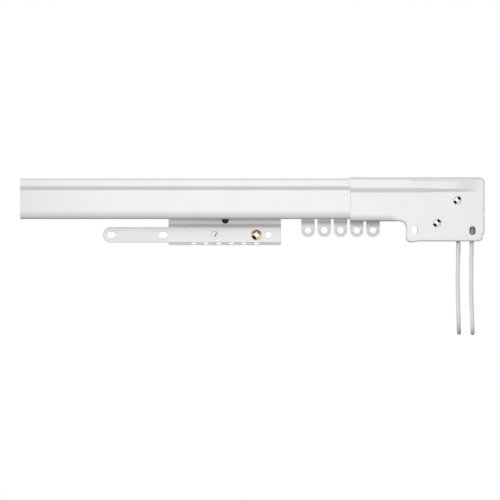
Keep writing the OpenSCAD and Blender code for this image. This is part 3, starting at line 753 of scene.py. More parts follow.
def add_rail():
    low, high, _ = span("rail")
    half = RAIL_T / 2
    rear, bead = high.y - half, low.y + half
    panel = bead + RAIL_BEAD_OUT
    path = rounded([
        (rear, high.z - RAIL_TOP_LIP, 0),
        (rear, high.z - half, RAIL_FOLD_R),
        (bead, high.z - half, RAIL_BEAD_R),
        (bead, high.z - RAIL_BEAD_H - RAIL_STEP_H * RAIL_STEP_SHARE, RAIL_STEP_R),
        (panel, high.z - RAIL_BEAD_H - RAIL_STEP_H * (1 - RAIL_STEP_SHARE), RAIL_STEP_R),
        *rolled_corner(panel, low.z + half),
        (rear, low.z + half, RAIL_FOLD_R),
        (rear, low.z + RAIL_BOTTOM_LIP, 0)
    ], steps=12)
    dress(add_sheet("rail_sheet", path, RAIL_T, low, high), "rail", edge=0.2)


add_rail()


# Pulley housing. Its mesh has rows and columns, which are closer together on its curved parts.
HOUSING_T = 0.85
HOUSING_R = 3.75
HOUSING_FOLD = 1.2
FOLD_STEPS = 6
HOUSING_BEAD_OUT = 1.2
HOUSING_STEP_TOP = 16.8
HOUSING_STEP_BOTTOM = 12.3
STEP_MARGIN = 0.5
SLEEVE_BOTTOM = -8.7
SLEEVE_ROLL_UP = 6.2
SLEEVE_ROLL_IN = 2.8
ROLL_END_IN = 3
SLEEVE_ROLL_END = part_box("rail")[1].x / MM - ROLL_END_IN
SLEEVE_ROLL_FADE = 12
SLEEVE_COLUMNS = 24
SLEEVE_END_R = 0.4
SLEEVE_END_COLUMNS = (0.1, 0.2, 0.3, 0.4)
HOUSING_FLOOR = -23.8
INNER_CORNER_R = 4.5
TAB_W = 8.2
SIDE_STEP = 1.25
SIDE_STEP_Z = -18.5
SMALL_R = 0.7
LEAST_OUTER_R = 0.4
LEAST_SMALL_R = 0.05
SHARPEN_START = 124
SHARPEN_END = 148
SHARP_STEP_BOTTOM = 13.2
SHARP_STEP_H = 2.6
BEAD_FADE_START = 150
BEAD_FADE_END = 175
LEFT_SLOT = (123.6, -15.2, 7.2, 4.6)
RIGHT_SLOT = (166.9, -15.8, 6.6, 4.6)
AXLES = ("upper_axle", "lower_axle")
AXLE_HOLE_R = 2.02
STEP_ROW = 0.25
ROLL_ROW = 0.5
FLAT_ROW = 1.5
COLUMN_W = 2
EDGE_CLEAR = 0.08
HOLE_CLEAR = 0.5
MOUTH_LIP = 0.4
MOUTH_DOWN = 2
MOUTH_UP = 1.5


def housing_corners(inset, left):
    """Corners of the housing's outline drawn in by inset, from its top left end round to the sleeve."""
    low, high, _ = span("end_housing")
    wall = span("rail")[1].x
    outer = max(HOUSING_R - inset, LEAST_OUTER_R)
    small = max(SMALL_R - inset, LEAST_SMALL_R)
    right, floor = high.x - inset, HOUSING_FLOOR + inset
    return [
        (left, high.z - inset, 0),
        (right, high.z - inset, outer),
        (right, SIDE_STEP_Z + inset, small),
        (right - SIDE_STEP, SIDE_STEP_Z + inset, 0),
        (right - SIDE_STEP, floor, outer),
        (wall + TAB_W - inset, floor, SMALL_R + inset),
        (wall + TAB_W - inset, low.z + inset, small),
        (wall + inset, low.z + inset, outer),
        (wall + inset, SLEEVE_BOTTOM + inset, INNER_CORNER_R + inset),
        (left, SLEEVE_BOTTOM + inset, 0)
    ]


def housing_outline(inset):
    """The housing's outline drawn in by inset, with points close together along the sleeve's bottom."""
    left = span("end_housing")[0].x
    corners = housing_corners(inset, left)
    start = span("rail")[1].x - INNER_CORNER_R
    columns = [start + (left - start) * i / SLEEVE_COLUMNS for i in range(1, SLEEVE_COLUMNS)]
    corners[-1:-1] = [(x, SLEEVE_BOTTOM + inset, 0) for x in columns]
    return rounded(corners, steps=10)


def bead_height(x, z):
    """How far the bead stands out of the front: its step sharpens to the right, and then it fades."""
    sharp = smooth_step((x - SHARPEN_START) / (SHARPEN_END - SHARPEN_START))
    fade = smooth_step((x - BEAD_FADE_START) / (BEAD_FADE_END - BEAD_FADE_START))
    bottom = HOUSING_STEP_BOTTOM + (SHARP_STEP_BOTTOM - HOUSING_STEP_BOTTOM) * sharp
    wide = HOUSING_STEP_TOP - HOUSING_STEP_BOTTOM
    height = wide + (SHARP_STEP_H - wide) * sharp
    return HOUSING_BEAD_OUT * smooth_step((z - bottom) / height) * (1 - fade)


def sleeve_roll(x, z):
    """How far the front of the sleeve turns back round the rail's rolled edge."""
    into = clamped((SLEEVE_BOTTOM + SLEEVE_ROLL_UP - z) / SLEEVE_ROLL_UP)
    return smooth_step((SLEEVE_ROLL_END - x) / SLEEVE_ROLL_FADE) * rolled_in(into, SLEEVE_ROLL_IN)


def sleeve_end(x, left):
    """How far the sleeve's front turns back on to the rail at its left end."""
    into = clamped((left + SLEEVE_END_R - x) / SLEEVE_END_R)
    return SLEEVE_END_R * (1 - math.sqrt(1 - into**2))


def row_heights(bottom, top):
    """Heights of the mesh's rows."""
    rows, z = [], bottom
    while z < top:
        rows.append(z)
        on_step = HOUSING_STEP_BOTTOM - STEP_MARGIN < z < HOUSING_STEP_TOP + STEP_MARGIN
        on_roll = SLEEVE_BOTTOM < z < SLEEVE_BOTTOM + SLEEVE_ROLL_UP
        z += STEP_ROW if on_step else ROLL_ROW if on_roll else FLAT_ROW
    return rows + [top]


def axle_holes():
    middles = [span(axle)[2] for axle in AXLES]
    return [circle(p.x, p.z, AXLE_HOLE_R) for p in middles]


def face_points(loop, holes):
    """Points of the mesh's rows and columns that lie in the front's loop and clear of its holes."""
    low, high, _ = span("end_housing")
    inner = moved(wound(loop, True), EDGE_CLEAR)
    clear = [moved(wound(hole, False), HOLE_CLEAR) for hole in holes]
    columns = int((high.x - low.x) / COLUMN_W)
    across = [low.x + out for out in SLEEVE_END_COLUMNS]
    across += [low.x + (high.x - low.x) * i / columns for i in range(1, columns)]
    points = [Vector((x, z)) for x in across for z in row_heights(low.z, high.z)]
    return [p for p in points if is_inside(p, inner) and not any(is_inside(p, hole) for hole in clear)]


def add_housing():
    """Pressed front with its folded edge, thickened to a sheet, with a mouth for the cord guide."""
    low, high, _ = span("end_housing")
    front = low.y + HOUSING_BEAD_OUT
    rings = [(0, high.y)]
    for a in quarter_turn(FOLD_STEPS):
        rings.append((HOUSING_FOLD * (1 - math.cos(a)), front + HOUSING_FOLD * (1 - math.sin(a))))
    verts, faces = [], []

    def put(p, y, share):
        turned_in = sleeve_roll(p.x, p.y) + sleeve_end(p.x, low.x)
        verts.append((p.x, y - share * bead_height(p.x, p.y) + turned_in, p.y))

    for inset, y in rings:
        outline = housing_outline(inset)
        for p in outline:
            put(p, y, inset / HOUSING_FOLD)
    n = len(outline)
    for k in range(len(rings) - 1):
        faces += [(k * n + i, k * n + i + 1, (k + 1) * n + i + 1, (k + 1) * n + i) for i in range(n - 1)]

    loop = outline + [Vector((low.x, z)) for z in row_heights(outline[-1].y, outline[0].y)][1:-1]
    holes = [slot_outline(*slot, True) for slot in (LEFT_SLOT, RIGHT_SLOT)] + axle_holes()
    points, triangles = filled([loop] + holes, face_points(loop, holes))
    faces += [tuple(len(verts) + i for i in t) for t in triangles]
    for p in points:
        put(p, front, 1)
    housing = add_piece("housing_shell", (verts, faces))
    if sum(p.normal.y * p.area for p in housing.data.polygons) > 0:
        housing.data.flip_normals()
    shell = housing.modifiers.new("sheet", "SOLIDIFY")
    shell.thickness = HOUSING_T * MM
    shell.offset = -1
    settle(housing)
    foot_low, foot_high, _ = span("cord_guide")
    mouth = rectangle(foot_low.x + MOUTH_LIP, foot_high.x - MOUTH_LIP,
                      foot_low.y + MOUTH_LIP, foot_high.y - MOUTH_LIP)
    drill(housing, prism(mouth, along_z, HOUSING_FLOOR - MOUTH_DOWN, HOUSING_FLOOR + MOUTH_UP))
    dress(housing, "end_housing", edge=0.15, angle=50)


add_housing()


# Back plate of the housing and the guide in its floor
PLATE_GAP = 0.15
STRAP_T = 1.2
TONGUE_UP = 4
TONGUE_ROOM = 0.2
TONGUE_HOLE_R = 0.3
GUIDE_LIP = 0.6
GUIDE_CORNER = 1.2
FOOT_CORNER = 0.4
GUIDE_BORE_R = 1.9
GUIDE_MOUTH_R = 2.3
GUIDE_MOUTH_H = 0.5


def add_back_plate():
    low, high, _ = span("housing_back")
    inset = HOUSING_T + PLATE_GAP
    outline = rounded(housing_corners(inset, span("rail")[1].x + inset)[:-2], True)
    tongue_low, tongue_high, _ = span("right_wall_bracket")
    shelf = tongue_high.z - TONGUE_UP
    top = shelf + STRAP_T / 2 + TONGUE_ROOM
    bottom = shelf - STRAP_T / 2 - TONGUE_UP - 2 * TONGUE_ROOM
    left, right = tongue_low.x - TONGUE_ROOM, tongue_high.x + TONGUE_ROOM
    tongue_hole = rounded_rectangle(left, right, bottom, top, TONGUE_HOLE_R)
    holes = [slot_outline(*LEFT_SLOT, True), *axle_holes(), tongue_hole]
    back = add_piece("housing_plate", plate(outline, holes, along_y, low.y, high.y, 0.15))
    dress(back, "housing_back", edge=0)


def add_cord_guide():
    low, high, _ = span("cord_guide")
    seat = low.z + HOUSING_T
    lip = GUIDE_LIP
    flange = rounded_rectangle(low.x, high.x, low.y, high.y, GUIDE_CORNER)
    foot = rounded_rectangle(low.x + lip, high.x - lip, low.y + lip, high.y - lip, FOOT_CORNER)
    guide = add_piece("guide_moulding", plate(flange, [], along_z, seat, high.z, 0.4))
    combine(guide, "UNION", add_piece("foot", plate(foot, [], along_z, low.z, seat + lip, 0.1)))
    below, above = low.z - OVERCUT, high.z + OVERCUT
    bore = [
        (0, below), (GUIDE_MOUTH_R, below), (GUIDE_MOUTH_R, low.z),
        (GUIDE_BORE_R, low.z + GUIDE_MOUTH_H), (GUIDE_BORE_R, above), (0, above)
    ]
    drill(guide, *(lathe(bore, p.x / MM, p.y / MM, along_z, steps=40) for p in (BORE_A, BORE_B)))
    dress(guide, "cord_guide", edge=0.1)


add_back_plate()
add_cord_guide()


# Pulleys and their axles
CORD_PLANE = BORE_A.y / MM
CORD_ROOM = 0.3
FLANGE_T = 0.9
FLANGE_SLOPE = 0.5
RIM_ROUND = 0.35
RIM_BEVEL = 0.1
GROOVE_LIP = 0.3
GROOVE_RISE = 0.05
GROOVE_STEPS = 12
PULLEY_BORE_R = 2.04
HUB_R = 3.84
WEB_DISH = 1.5
WEB_HOLES = 5
WEB_HOLE_R = 0.8
AXLE_R = 2
HEAD_H = 1.3
HEAD_RIM = 0.35
HEAD_RIM_H = 0.25
HEAD_BEVEL = 0.08
TAIL_H = 0.6
TAIL_OUT = 0.8
TAIL_BEVEL = 0.25
TAIL_RISE = 0.1
PIN_CHAMFER = 0.4


def dome(radius, height, front, steps=12):
    """Profile of a dome from its middle, which is at front, to its edge."""
    ball = (radius**2 + height**2) / (2 * height)
    edge = math.asin(radius / ball)
    angles = [edge * i / steps for i in range(steps + 1)]
    return [(ball * math.sin(a), front + ball * (1 - math.cos(a))) for a in angles]


def add_pulley(node):
    """Pulley with a round groove, dished sides and holes through its web."""
    low, high, middle = span(node)
    rim_r = (high.x - low.x) / 2
    pitch_r = rim_r - PULLEY_RIM
    groove = CORD_D / MM / 2 + CORD_ROOM
    half = groove + FLANGE_T
    web_r = pitch_r - groove - FLANGE_T
    side = [
        (HUB_R, half - WEB_DISH), (web_r, half - WEB_DISH), (web_r + FLANGE_SLOPE, half),
        (rim_r - RIM_ROUND, half), (rim_r - RIM_BEVEL, half - RIM_BEVEL), (rim_r, half - RIM_ROUND),
        (rim_r, groove + GROOVE_LIP), (rim_r - GROOVE_LIP, groove + GROOVE_RISE)
    ]
    turns = [math.radians(90 - 180 * i / GROOVE_STEPS) for i in range(GROOVE_STEPS + 1)]
    profile = [(PULLEY_BORE_R, low.y), (HUB_R, low.y)]
    profile += [(r, CORD_PLANE - depth) for r, depth in side]
    profile += [(pitch_r - groove * math.cos(a), CORD_PLANE - groove * math.sin(a)) for a in turns]
    profile += [(r, CORD_PLANE + depth) for r, depth in side[::-1]]
    profile += [(HUB_R, high.y), (PULLEY_BORE_R, high.y)]
    pulley = add_turned(node + "_wheel", node, profile, True)
    hole_at = (HUB_R + web_r) / 2
    holes = []
    for i in range(WEB_HOLES):
        x, z = around(middle.x, middle.z, hole_at, TAU * i / WEB_HOLES)
        holes.append(prism(circle(x, z, WEB_HOLE_R, 20), along_y, CORD_PLANE - half, CORD_PLANE + half))
    drill(pulley, *holes)
    dress(pulley, node, edge=0.1)


def add_riveted_axle(node):
    """Axle with a domed head on a flat rim at the front, and peened over at the back."""
    low, high, _ = span(node)
    head_r = (high.x - low.x) / 2
    seat = low.y + HEAD_H
    rim, tail = seat - HEAD_RIM_H, high.y - TAIL_H
    tail_r = AXLE_R + TAIL_OUT
    profile = dome(head_r - HEAD_RIM, HEAD_H - HEAD_RIM_H, low.y)
    profile += [
        (head_r - HEAD_BEVEL, rim), (head_r, rim + HEAD_BEVEL), (head_r, seat), (AXLE_R, seat),
        (AXLE_R, tail), (tail_r, tail), (tail_r, high.y - TAIL_H / 2),
        (tail_r - TAIL_BEVEL, high.y - TAIL_RISE), (AXLE_R, high.y), (0, high.y)
    ]
    dress(add_turned(node + "_rivet", node, profile), node, edge=0)


def add_return_axle():
    low, high, _ = span("return_axle")
    end_r = AXLE_R - PIN_CHAMFER
    profile = [
        (0, low.y), (end_r, low.y), (AXLE_R, low.y + PIN_CHAMFER), (AXLE_R, high.y - PIN_CHAMFER),
        (end_r, high.y), (0, high.y)
    ]
    dress(add_turned("return_pin", "return_axle", profile), "return_axle", edge=0.1)


for pulley_node in ("upper_pulley", "lower_pulley", "return_pulley"):
    add_pulley(pulley_node)
for axle_node in AXLES:
    add_riveted_axle(axle_node)
add_return_axle()


# Block that holds the return pulley in the left end of the rail
FORK_GAP = 0.2
FORK_ROOM = 0.8
POCKET_IN = 2.2
POCKET_R = 1.5
POCKET_DEPTH = 1.2
BLOCK_R = 0.5


def add_end_block():
    low, high, _ = span("end_pulley_block")
    wheel_low, wheel_high, wheel = span("return_pulley")
    section = rounded([
        *rolled_corner(low.y, low.z), (high.y, low.z, BLOCK_R), (high.y, high.z, BLOCK_R),
        (low.y, high.z, RAIL_FOLD_R)
    ], True)
    block = add_piece("end_block", prism(section, along_x, low.x, high.x))
    fork = rectangle(wheel_low.y - FORK_GAP, wheel_high.y + FORK_GAP, low.z - OVERCUT, high.z + OVERCUT)
    pocket = rounded_rectangle(low.y + POCKET_IN, high.y - POCKET_IN,
                               low.z + POCKET_IN, high.z - POCKET_IN, POCKET_R)
    drill(
        block,
        prism(fork, along_x, wheel_low.x - FORK_ROOM, high.x + OVERCUT),
        prism(pocket, along_x, low.x - OVERCUT, low.x + POCKET_DEPTH),
        through(circle(wheel.x, wheel.z, AXLE_HOLE_R), low, high)
    )
    dress(block, "end_pulley_block", edge=0.3)


add_end_block()


# Carriers
EYE_HOLE_R = 2.4
EYE_RING = 1.1
EYE_RING_H = 0.6
EYE_EDGE = 0.3
EYE_TOP_R = 1
SHOULDER_GAP = 0.2
SHOULDER_OUT = 1.2
SHOULDER_H = 4.2
SHOULDER_IN = 0.5
TAIL_T = 2.4
SHOE_T = 2.4
SHOE_IN = 0.3
SHOE_UP = 9.25
SHOE_R = 1.2
NECK_UP = 6.3
NECK_H = 3.2
NECK_IN = 0.5
NECK_R = 0.3
NECK_SUNK = 0.1
GRIP_R = 0.6
GRIP_SUNK = 0.05
CLAMP_BORE_R = 1.9
CLAMP_SCREW_R = 1.2
CLAMP_SCREW_ROOM = 0.02
CLAMP_SCREW_REACH = 10
CLAMP_HEAD_H = 1.3
CLAMP_HEAD_R = 0.25
CLAMP_POINT = 0.3
CLAMP_SLOT = (4, 0.25)


def shoulder_outline(front):
    """Fillet between a carrier's tail and the underside of the rail, seen along the rail."""
    top = SLEEVE_BOTTOM - SHOULDER_GAP
    curve = [
        Vector((front - SHOULDER_OUT * (1 - math.sin(a)), top - SHOULDER_H * (1 - math.cos(a))))
        for a in quarter_turn(8)
    ]
    back = front + SHOULDER_IN
    return [Vector((back, top)), *curve, Vector((back, top - SHOULDER_H))]


def add_carrier_body(node):
    """Eye on a hanging tail, a neck over the rail's lower lip and a shoe inside the rail."""
    low, high, _ = span("glider_1")
    half = (high.x - low.x) / 2
    x = span(node)[1].x - half
    eye_z = low.z + half
    tail_back = high.y - EYE_RING_H
    tail_front = tail_back - TAIL_T
    neck_z = span("rail")[0].z + NECK_UP
    top = neck_z + NECK_H
    left, right = x - half, x + half
    tail = rounded([
        (left, top, EYE_TOP_R), (left, low.z, half), (right, low.z, half), (right, top, EYE_TOP_R)
    ], True, 16)
    hole = circle(x, eye_z, EYE_HOLE_R + EYE_RING / 2)
    ring = rounded_rectangle(
        EYE_HOLE_R, EYE_HOLE_R + EYE_RING, tail_front - EYE_RING_H, tail_back + EYE_RING_H, EYE_EDGE
    )
    side = half - SHOE_IN
    neck = rounded_rectangle(x - side, x + side, low.y + NECK_IN, tail_back - NECK_IN, NECK_R)
    shoe = rounded_rectangle(x - side, x + side, eye_z + SHOE_UP, high.z, SHOE_R)
    shoulder = prism(shoulder_outline(tail_front), along_x, left + SHOULDER_IN, right - SHOULDER_IN)
    carrier = add_piece(
        node + "_moulding", plate(tail, [hole], along_y, tail_front, tail_back, EYE_EDGE, 4)
    )
    combine(
        carrier, "UNION",
        add_piece("ring", lathe(ring, x, eye_z, along_y, True)),
        add_piece("shoulder", shoulder),
        add_piece("neck", prism(neck, along_z, neck_z + NECK_SUNK, top - NECK_SUNK)),
        add_piece("shoe", plate(shoe, [], along_y, low.y, low.y + SHOE_T, 0.4))
    )
    return carrier


def clamp_cutters():
    """Bore of the cord and the hole of the screw, which the grip and its clamp share."""
    low, high, _ = span("cord_clamp")
    screw = span("cord_clamp_screw")[2]
    run_z = span("return_pulley")[0].z + PULLEY_RIM
    bore = circle(CORD_PLANE, run_z, CLAMP_BORE_R)
    hole = circle(screw.x, screw.z, CLAMP_SCREW_R + CLAMP_SCREW_ROOM)
    return (prism(bore, along_x, low.x - OVERCUT, high.x + OVERCUT),
            prism(hole, along_y, low.y - OVERCUT, CORD_PLANE + CLAMP_SCREW_REACH))


def add_master():
    """Carrier that the cord draws, with a grip and a clamp plate on the lower run of the cord."""
    low, high, _ = span("cord_clamp")
    grip = rounded_rectangle(low.x, high.x, low.z, high.z, GRIP_R)
    grip_front = span("master_carrier")[0].y
    grip_back = span("glider_1")[0].y + SHOE_T - GRIP_SUNK
    master = add_carrier_body("master_carrier")
    combine(master, "UNION", add_piece("grip", plate(grip, [], along_y, grip_front, grip_back, 0.25)))
    clamp = add_piece("clamp_plate", plate(grip, [], along_y, low.y, high.y, 0.3))
    for piece, node in ((master, "master_carrier"), (clamp, "cord_clamp")):
        drill(piece, *clamp_cutters())
        dress(piece, node, edge=0.12)


def add_clamp_screw():
    low, high, middle = span("cord_clamp_screw")
    head_r = (high.x - low.x) / 2
    seat = low.y + CLAMP_HEAD_H
    profile = [
        (0, low.y), (head_r - CLAMP_HEAD_R, low.y), (head_r, low.y + CLAMP_HEAD_R), (head_r, seat),
        (CLAMP_SCREW_R, seat), (CLAMP_SCREW_R, high.y - CLAMP_POINT), (CLAMP_SCREW_R - CLAMP_POINT, high.y),
        (0, high.y)
    ]
    screw = add_turned("clamp_screw", "cord_clamp_screw", profile, steps=40)
    reach, half = CLAMP_SLOT
    slot = rectangle(middle.x - reach, middle.x + reach, middle.z - half, middle.z + half)
    drill(screw, prism(slot, along_y, low.y - OVERCUT, low.y + CLAMP_HEAD_H / 2))
    dress(screw, "cord_clamp_screw", edge=0.06)


for glider_node in ("glider_1", "glider_2", "glider_3", "glider_4"):
    dress(add_carrier_body(glider_node), glider_node, edge=0.12)
add_master()
add_clamp_screw()


# Bent strips: the clip of the centre support and the wall brackets
STRAP_BEND = 1.2
HOOK_UP = 5
BRACKET_CORNER = 1.5
WALL_HOLE_R = 2.25
PIVOT_R = 2
PIVOT_ROOM = 0.02


def add_strip(name, node, up, bottom):
    """Strip bent to a hook or tongue at the front, a shelf and a flange down to bottom at the back."""
    low, high, _ = span(node)
    front, back = low.y + STRAP_T / 2, high.y - STRAP_T / 2
    shelf = high.z - up
    path = rounded([
        (front, high.z, 0), (front, shelf, STRAP_BEND), (back, shelf, STRAP_BEND), (back, bottom, 0)
    ])
    return add_sheet(name, path, STRAP_T, low, high)


def add_support_clip():
    low, high, middle = span("support_clip")
    half = (high.x - low.x) / 2
    pivot_z = low.z + half
    clip = add_strip("clip_strap", "support_clip", HOOK_UP, pivot_z)
    end = circle(middle.x, pivot_z, half, 48)
    combine(clip, "UNION", add_piece("end", prism(end, along_y, high.y - STRAP_T, high.y)))
    hole = circle(middle.x, pivot_z, PIVOT_R + PIVOT_ROOM)
    drill(clip, prism(hole, along_y, high.y - 2 * STRAP_T, high.y + OVERCUT))
    dress(clip, "support_clip", edge=0.18)


def add_wall_bracket(node, up):
    low, high, middle = span(node)
    wall = high.y - STRAP_T / 2
    bracket = add_strip(node + "_strip", node, up, low.z)
    face = rounded_rectangle(low.x, high.x, low.z, high.z, BRACKET_CORNER)
    combine(bracket, "INTERSECT", add_piece("face", through(face, low, high)))
    drill(bracket, prism(circle(middle.x, 0, WALL_HOLE_R), along_y, wall - STRAP_T, wall + STRAP_T))
    dress(bracket, node, edge=0.15)


# Centre support
PIVOT_HEAD_H = 1
PIVOT_DOME_H = 0.6
PIVOT_BEVEL = 0.3
PIVOT_HOLE_R = 2.04
WEB_T = 1.2
ROLL_OUT = 0.9
ROLL_H = 6.6
ROLL_RUN = 2
ROLL_BEND = 1.5
ROLL_GAP = 0.2
LIP_BEND = 1.6
CHANNEL_CORNER = 1.4
PERF_COUNT = 6
PERF_FIRST = 19
PERF_PITCH = 9.5
PERF_LENGTH = 3.6
PERF_H = 1.4
PERF_UP = 0.55
SCREW_R = 2
SCREW_ROOM = 0.04
SCREW_SLOT = (24, 5)
ARM_CORNER = 0.8
ARM_HOLE_D = 5
ARM_SLOT_LENGTH = 6.6
ARM_END_IN = 6.4
ARM_PITCH = 39
ARM_HOLES = 4
ARM_LAST_OUT = 1.5
NICK_OUT = 0.7
NICK_LENGTH = 3.2
NICK_W = 0.8
NICK_DEPTH = 0.9
NICK_SLANT = 65
SLASH_IN = 0.05
SCREW_HEAD_H = 2.2
SCREW_EDGE_H = 1.2
SCREW_EDGE_R = 0.4
SCREW_BEVEL = 0.1
SCREW_POINT = 0.4
CROSS_REACH = 2.3
CROSS_W = 1.1
CROSS_DEPTH = 1.5
CROSS_OUT = 0.5
CROSS_TAPER = (1.15, 0.55)
NUT_CORNER = 0.7
NUT_HOLE_R = 2.04


def add_pivot():
    low, high, _ = span("pivot_rivet")
    head_r = (high.x - low.x) / 2
    front, back = low.y + PIVOT_HEAD_H, high.y - PIVOT_HEAD_H
    profile = dome(head_r, PIVOT_DOME_H, low.y)
    profile += [
        (head_r, front), (PIVOT_R, front), (PIVOT_R, back), (head_r, back), (head_r, high.y - PIVOT_BEVEL),
        (head_r - PIVOT_BEVEL, high.y), (0, high.y)
    ]
    dress(add_turned("pivot", "pivot_rivet", profile), "pivot_rivet", edge=0.05)


def arm_hole_x(index):
    """Place of one of the arm's holes, of which the last lies a little further out."""
    out = ARM_LAST_OUT if index == ARM_HOLES - 1 else 0
    return span("support_arm")[0].x + ARM_END_IN + index * ARM_PITCH + out


def nick_outline(length, width):
    """Slanted slot in the channel behind the arm's third hole."""
    x, z = arm_hole_x(2) + NICK_OUT, span("arm_screw")[2].z
    slant = math.radians(NICK_SLANT)
    return [
        Vector((x + p.x * math.cos(slant) - p.y * math.sin(slant),
                z + p.x * math.sin(slant) + p.y * math.cos(slant)))
        for p in slot_outline(0, 0, length, width)
    ]


def add_support_channel():
    """Channel with a rolled web and a perforated lip, and a black slash in its nick that is painted shade."""
    low, high, _ = span("support_channel")
    pivot, screw = span("pivot_rivet")[2], span("arm_screw")[2]
    web = high.y - WEB_T / 2
    roll = web - ROLL_OUT
    roll_bottom = span("support_arm")[1].z + ROLL_GAP
    roll_top = roll_bottom + ROLL_H
    lip = low.z + WEB_T / 2
    path = rounded([
        (web, high.z, 0),
        (web, roll_top, ROLL_BEND),
        (roll, roll_top - ROLL_RUN, ROLL_BEND),
        (roll, roll_bottom + ROLL_RUN, ROLL_BEND),
        (web, roll_bottom, ROLL_BEND),
        (web, lip, LIP_BEND),
        (low.y, lip, 0)
    ])
    channel = add_sheet("channel_sheet", path, WEB_T, low, high, True)
    face = rounded_rectangle(low.x, high.x, low.z, high.z, CHANNEL_CORNER)
    combine(channel, "INTERSECT", add_piece("face", through(face, low, high)))
    cuts = [circle(pivot.x, pivot.z, PIVOT_HOLE_R), slot_outline(screw.x, screw.z, *SCREW_SLOT)]
    for k in range(PERF_COUNT):
        x = low.x + PERF_FIRST + k * PERF_PITCH
        cuts.append(slot_outline(x, low.z + PERF_H / 2 + PERF_UP, PERF_LENGTH, PERF_H))
    drill(channel, *(through(cut, low, high) for cut in cuts))
    front = high.y - WEB_T
    nick_end = front + NICK_DEPTH
    drill(channel, prism(nick_outline(NICK_LENGTH, NICK_W), along_y, front - OVERCUT, nick_end))
    dress(channel, "support_channel", edge=0.15)
    # Black slash set flush in the nick: a dark sheet that stands for shade in the nick, not a real part
    slash_outline = nick_outline(NICK_LENGTH - 2 * SLASH_IN, NICK_W - 2 * SLASH_IN)
    slash_piece = add_piece("painted_shade_slash", plate(slash_outline, [], along_y, front, nick_end, 0.1))
    finish_piece(slash_piece, "black_rivet", BODY_OF["support_channel"], 0)


def add_support_arm():
    low, high, middle = span("support_arm")
    screw = span("arm_screw")[2]
    half = (high.z - low.z) / 2
    outline = rounded([
        (low.x, low.z, half), (high.x, low.z, ARM_CORNER), (high.x, high.z, ARM_CORNER), (low.x, high.z, half)
    ], True, 16)
    holes = [slot_outline(arm_hole_x(k), middle.z, ARM_SLOT_LENGTH, ARM_HOLE_D) for k in (0, 1)]
    holes += [circle(arm_hole_x(k), middle.z, ARM_HOLE_D / 2) for k in range(2, ARM_HOLES)]
    holes.append(circle(screw.x, screw.z, SCREW_R + SCREW_ROOM))
    arm = add_piece("arm_plate", plate(outline, holes, along_y, low.y, high.y, 0.4, 4))
    dress(arm, "support_arm", edge=0)


def cross_wing(x, z, front, upright):
    """Tapered cutter for one bar of the cross recess."""
    verts = []
    for y, scale in zip((front - CROSS_OUT, front + CROSS_DEPTH), CROSS_TAPER):
        for u, v in SQUARE:
            long, short = u * CROSS_REACH * scale, v * CROSS_W / 2 * scale
            verts.append((x + short, y, z + long) if upright else (x + long, y, z + short))
    return verts, [(0, 1, 2, 3), (4, 5, 6, 7)] + ring_faces(2, 4)


def add_arm_screw():
    low, high, middle = span("arm_screw")
    head_r = (high.x - low.x) / 2
    seat = low.y + SCREW_HEAD_H
    profile = dome(head_r - SCREW_EDGE_R, SCREW_HEAD_H - SCREW_EDGE_H, low.y, 16)
    profile += [
        (head_r - SCREW_EDGE_R * (1 - math.sin(t)), seat - SCREW_EDGE_H + SCREW_EDGE_R * (1 - math.cos(t)))
        for t in quarter_turn(4)[1:]
    ]
    profile += [
        (head_r, seat - SCREW_BEVEL), (head_r - SCREW_BEVEL, seat), (SCREW_R, seat),
        (SCREW_R, high.y - SCREW_POINT), (SCREW_R - SCREW_POINT, high.y), (0, high.y)
    ]
    screw = add_turned("pan_screw", "arm_screw", profile)
    drill(screw, *(cross_wing(middle.x, middle.z, low.y, upright) for upright in (False, True)))
    dress(screw, "arm_screw", edge=0.08)


def add_arm_nut():
    low, high, middle = span("arm_nut")
    outline = rounded_rectangle(low.x, high.x, low.z, high.z, NUT_CORNER)
    hole = circle(middle.x, middle.z, NUT_HOLE_R)
    nut = add_piece("square_nut", plate(outline, [hole], along_y, low.y, high.y, 0.4))
    dress(nut, "arm_nut", edge=0)


add_support_clip()
add_pivot()
add_support_channel()
add_support_arm()
add_arm_screw()
add_arm_nut()
add_wall_bracket("left_wall_bracket", HOOK_UP)
add_wall_bracket("right_wall_bracket", TONGUE_UP)


# Tie round the coil of cord
TIE_T = 1.0
TIE_CORNER = 2.5
TIE_TAB = (3, 12)
TIE_TAB_T = 0.8
TIE_TAB_SUNK = 0.2
TIE_TAB_R = 1.2


def add_coil_tie():
    low, high, _ = span("coil_tie")
    outer = rounded_rectangle(low.x, high.x, low.y, high.y, TIE_CORNER)
    inner = rounded_rectangle(
        low.x + TIE_T, high.x - TIE_T, low.y + TIE_T, high.y - TIE_T, TIE_CORNER - TIE_T
    )
    tie = add_piece("strap", plate(outer, [inner], along_z, low.z, high.z, 0.25))
    start, end = (low.x + along for along in TIE_TAB)
    tab = rounded_rectangle(start, end, low.z, high.z, TIE_TAB_R)
    tab_plate = plate(tab, [], along_y, high.y - TIE_TAB_SUNK, high.y + TIE_TAB_T, 0.2)
    combine(tie, "UNION", add_piece("tab", tab_plate))
    dress(tie, "coil_tie", edge=0)


add_coil_tie()


# Light and stage, in metres
KEY_POWER = 1.9
FILL_POWER = 2.3
BACK_POWER = 2.6
SKY_GREY = 0.5
GROUND_GREY = 0.14
SKY_RANGE = (0.3, 0.62)
FLOOR_Z = -0.28
FLOOR_HALF = 1.8
FLOOR_GREY = 0.86
FLOOR_GLOW = 0.5
CARD_HALF = 0.8
CARD_AWAY = 0.9
CARD_GREY = 0.02
TUNNEL_HALF = 0.9
TUNNEL_Y = (-0.35, 2.5)
TUNNEL_GREY = 0.05


def add_softbox(name, power, size, place, target):
    """Area light of a size (width, height), aimed at a point."""
    data = bpy.data.lights.new(name, "AREA")
    data.shape = "RECTANGLE"
    data.size, data.size_y = size
    data.energy = power
    lamp = add_object(name, data)
    lamp.location = place
    lamp.rotation_euler = (Vector(target) - Vector(place)).to_track_quat("-Z", "Y").to_euler()
    lamp.visible_camera = False


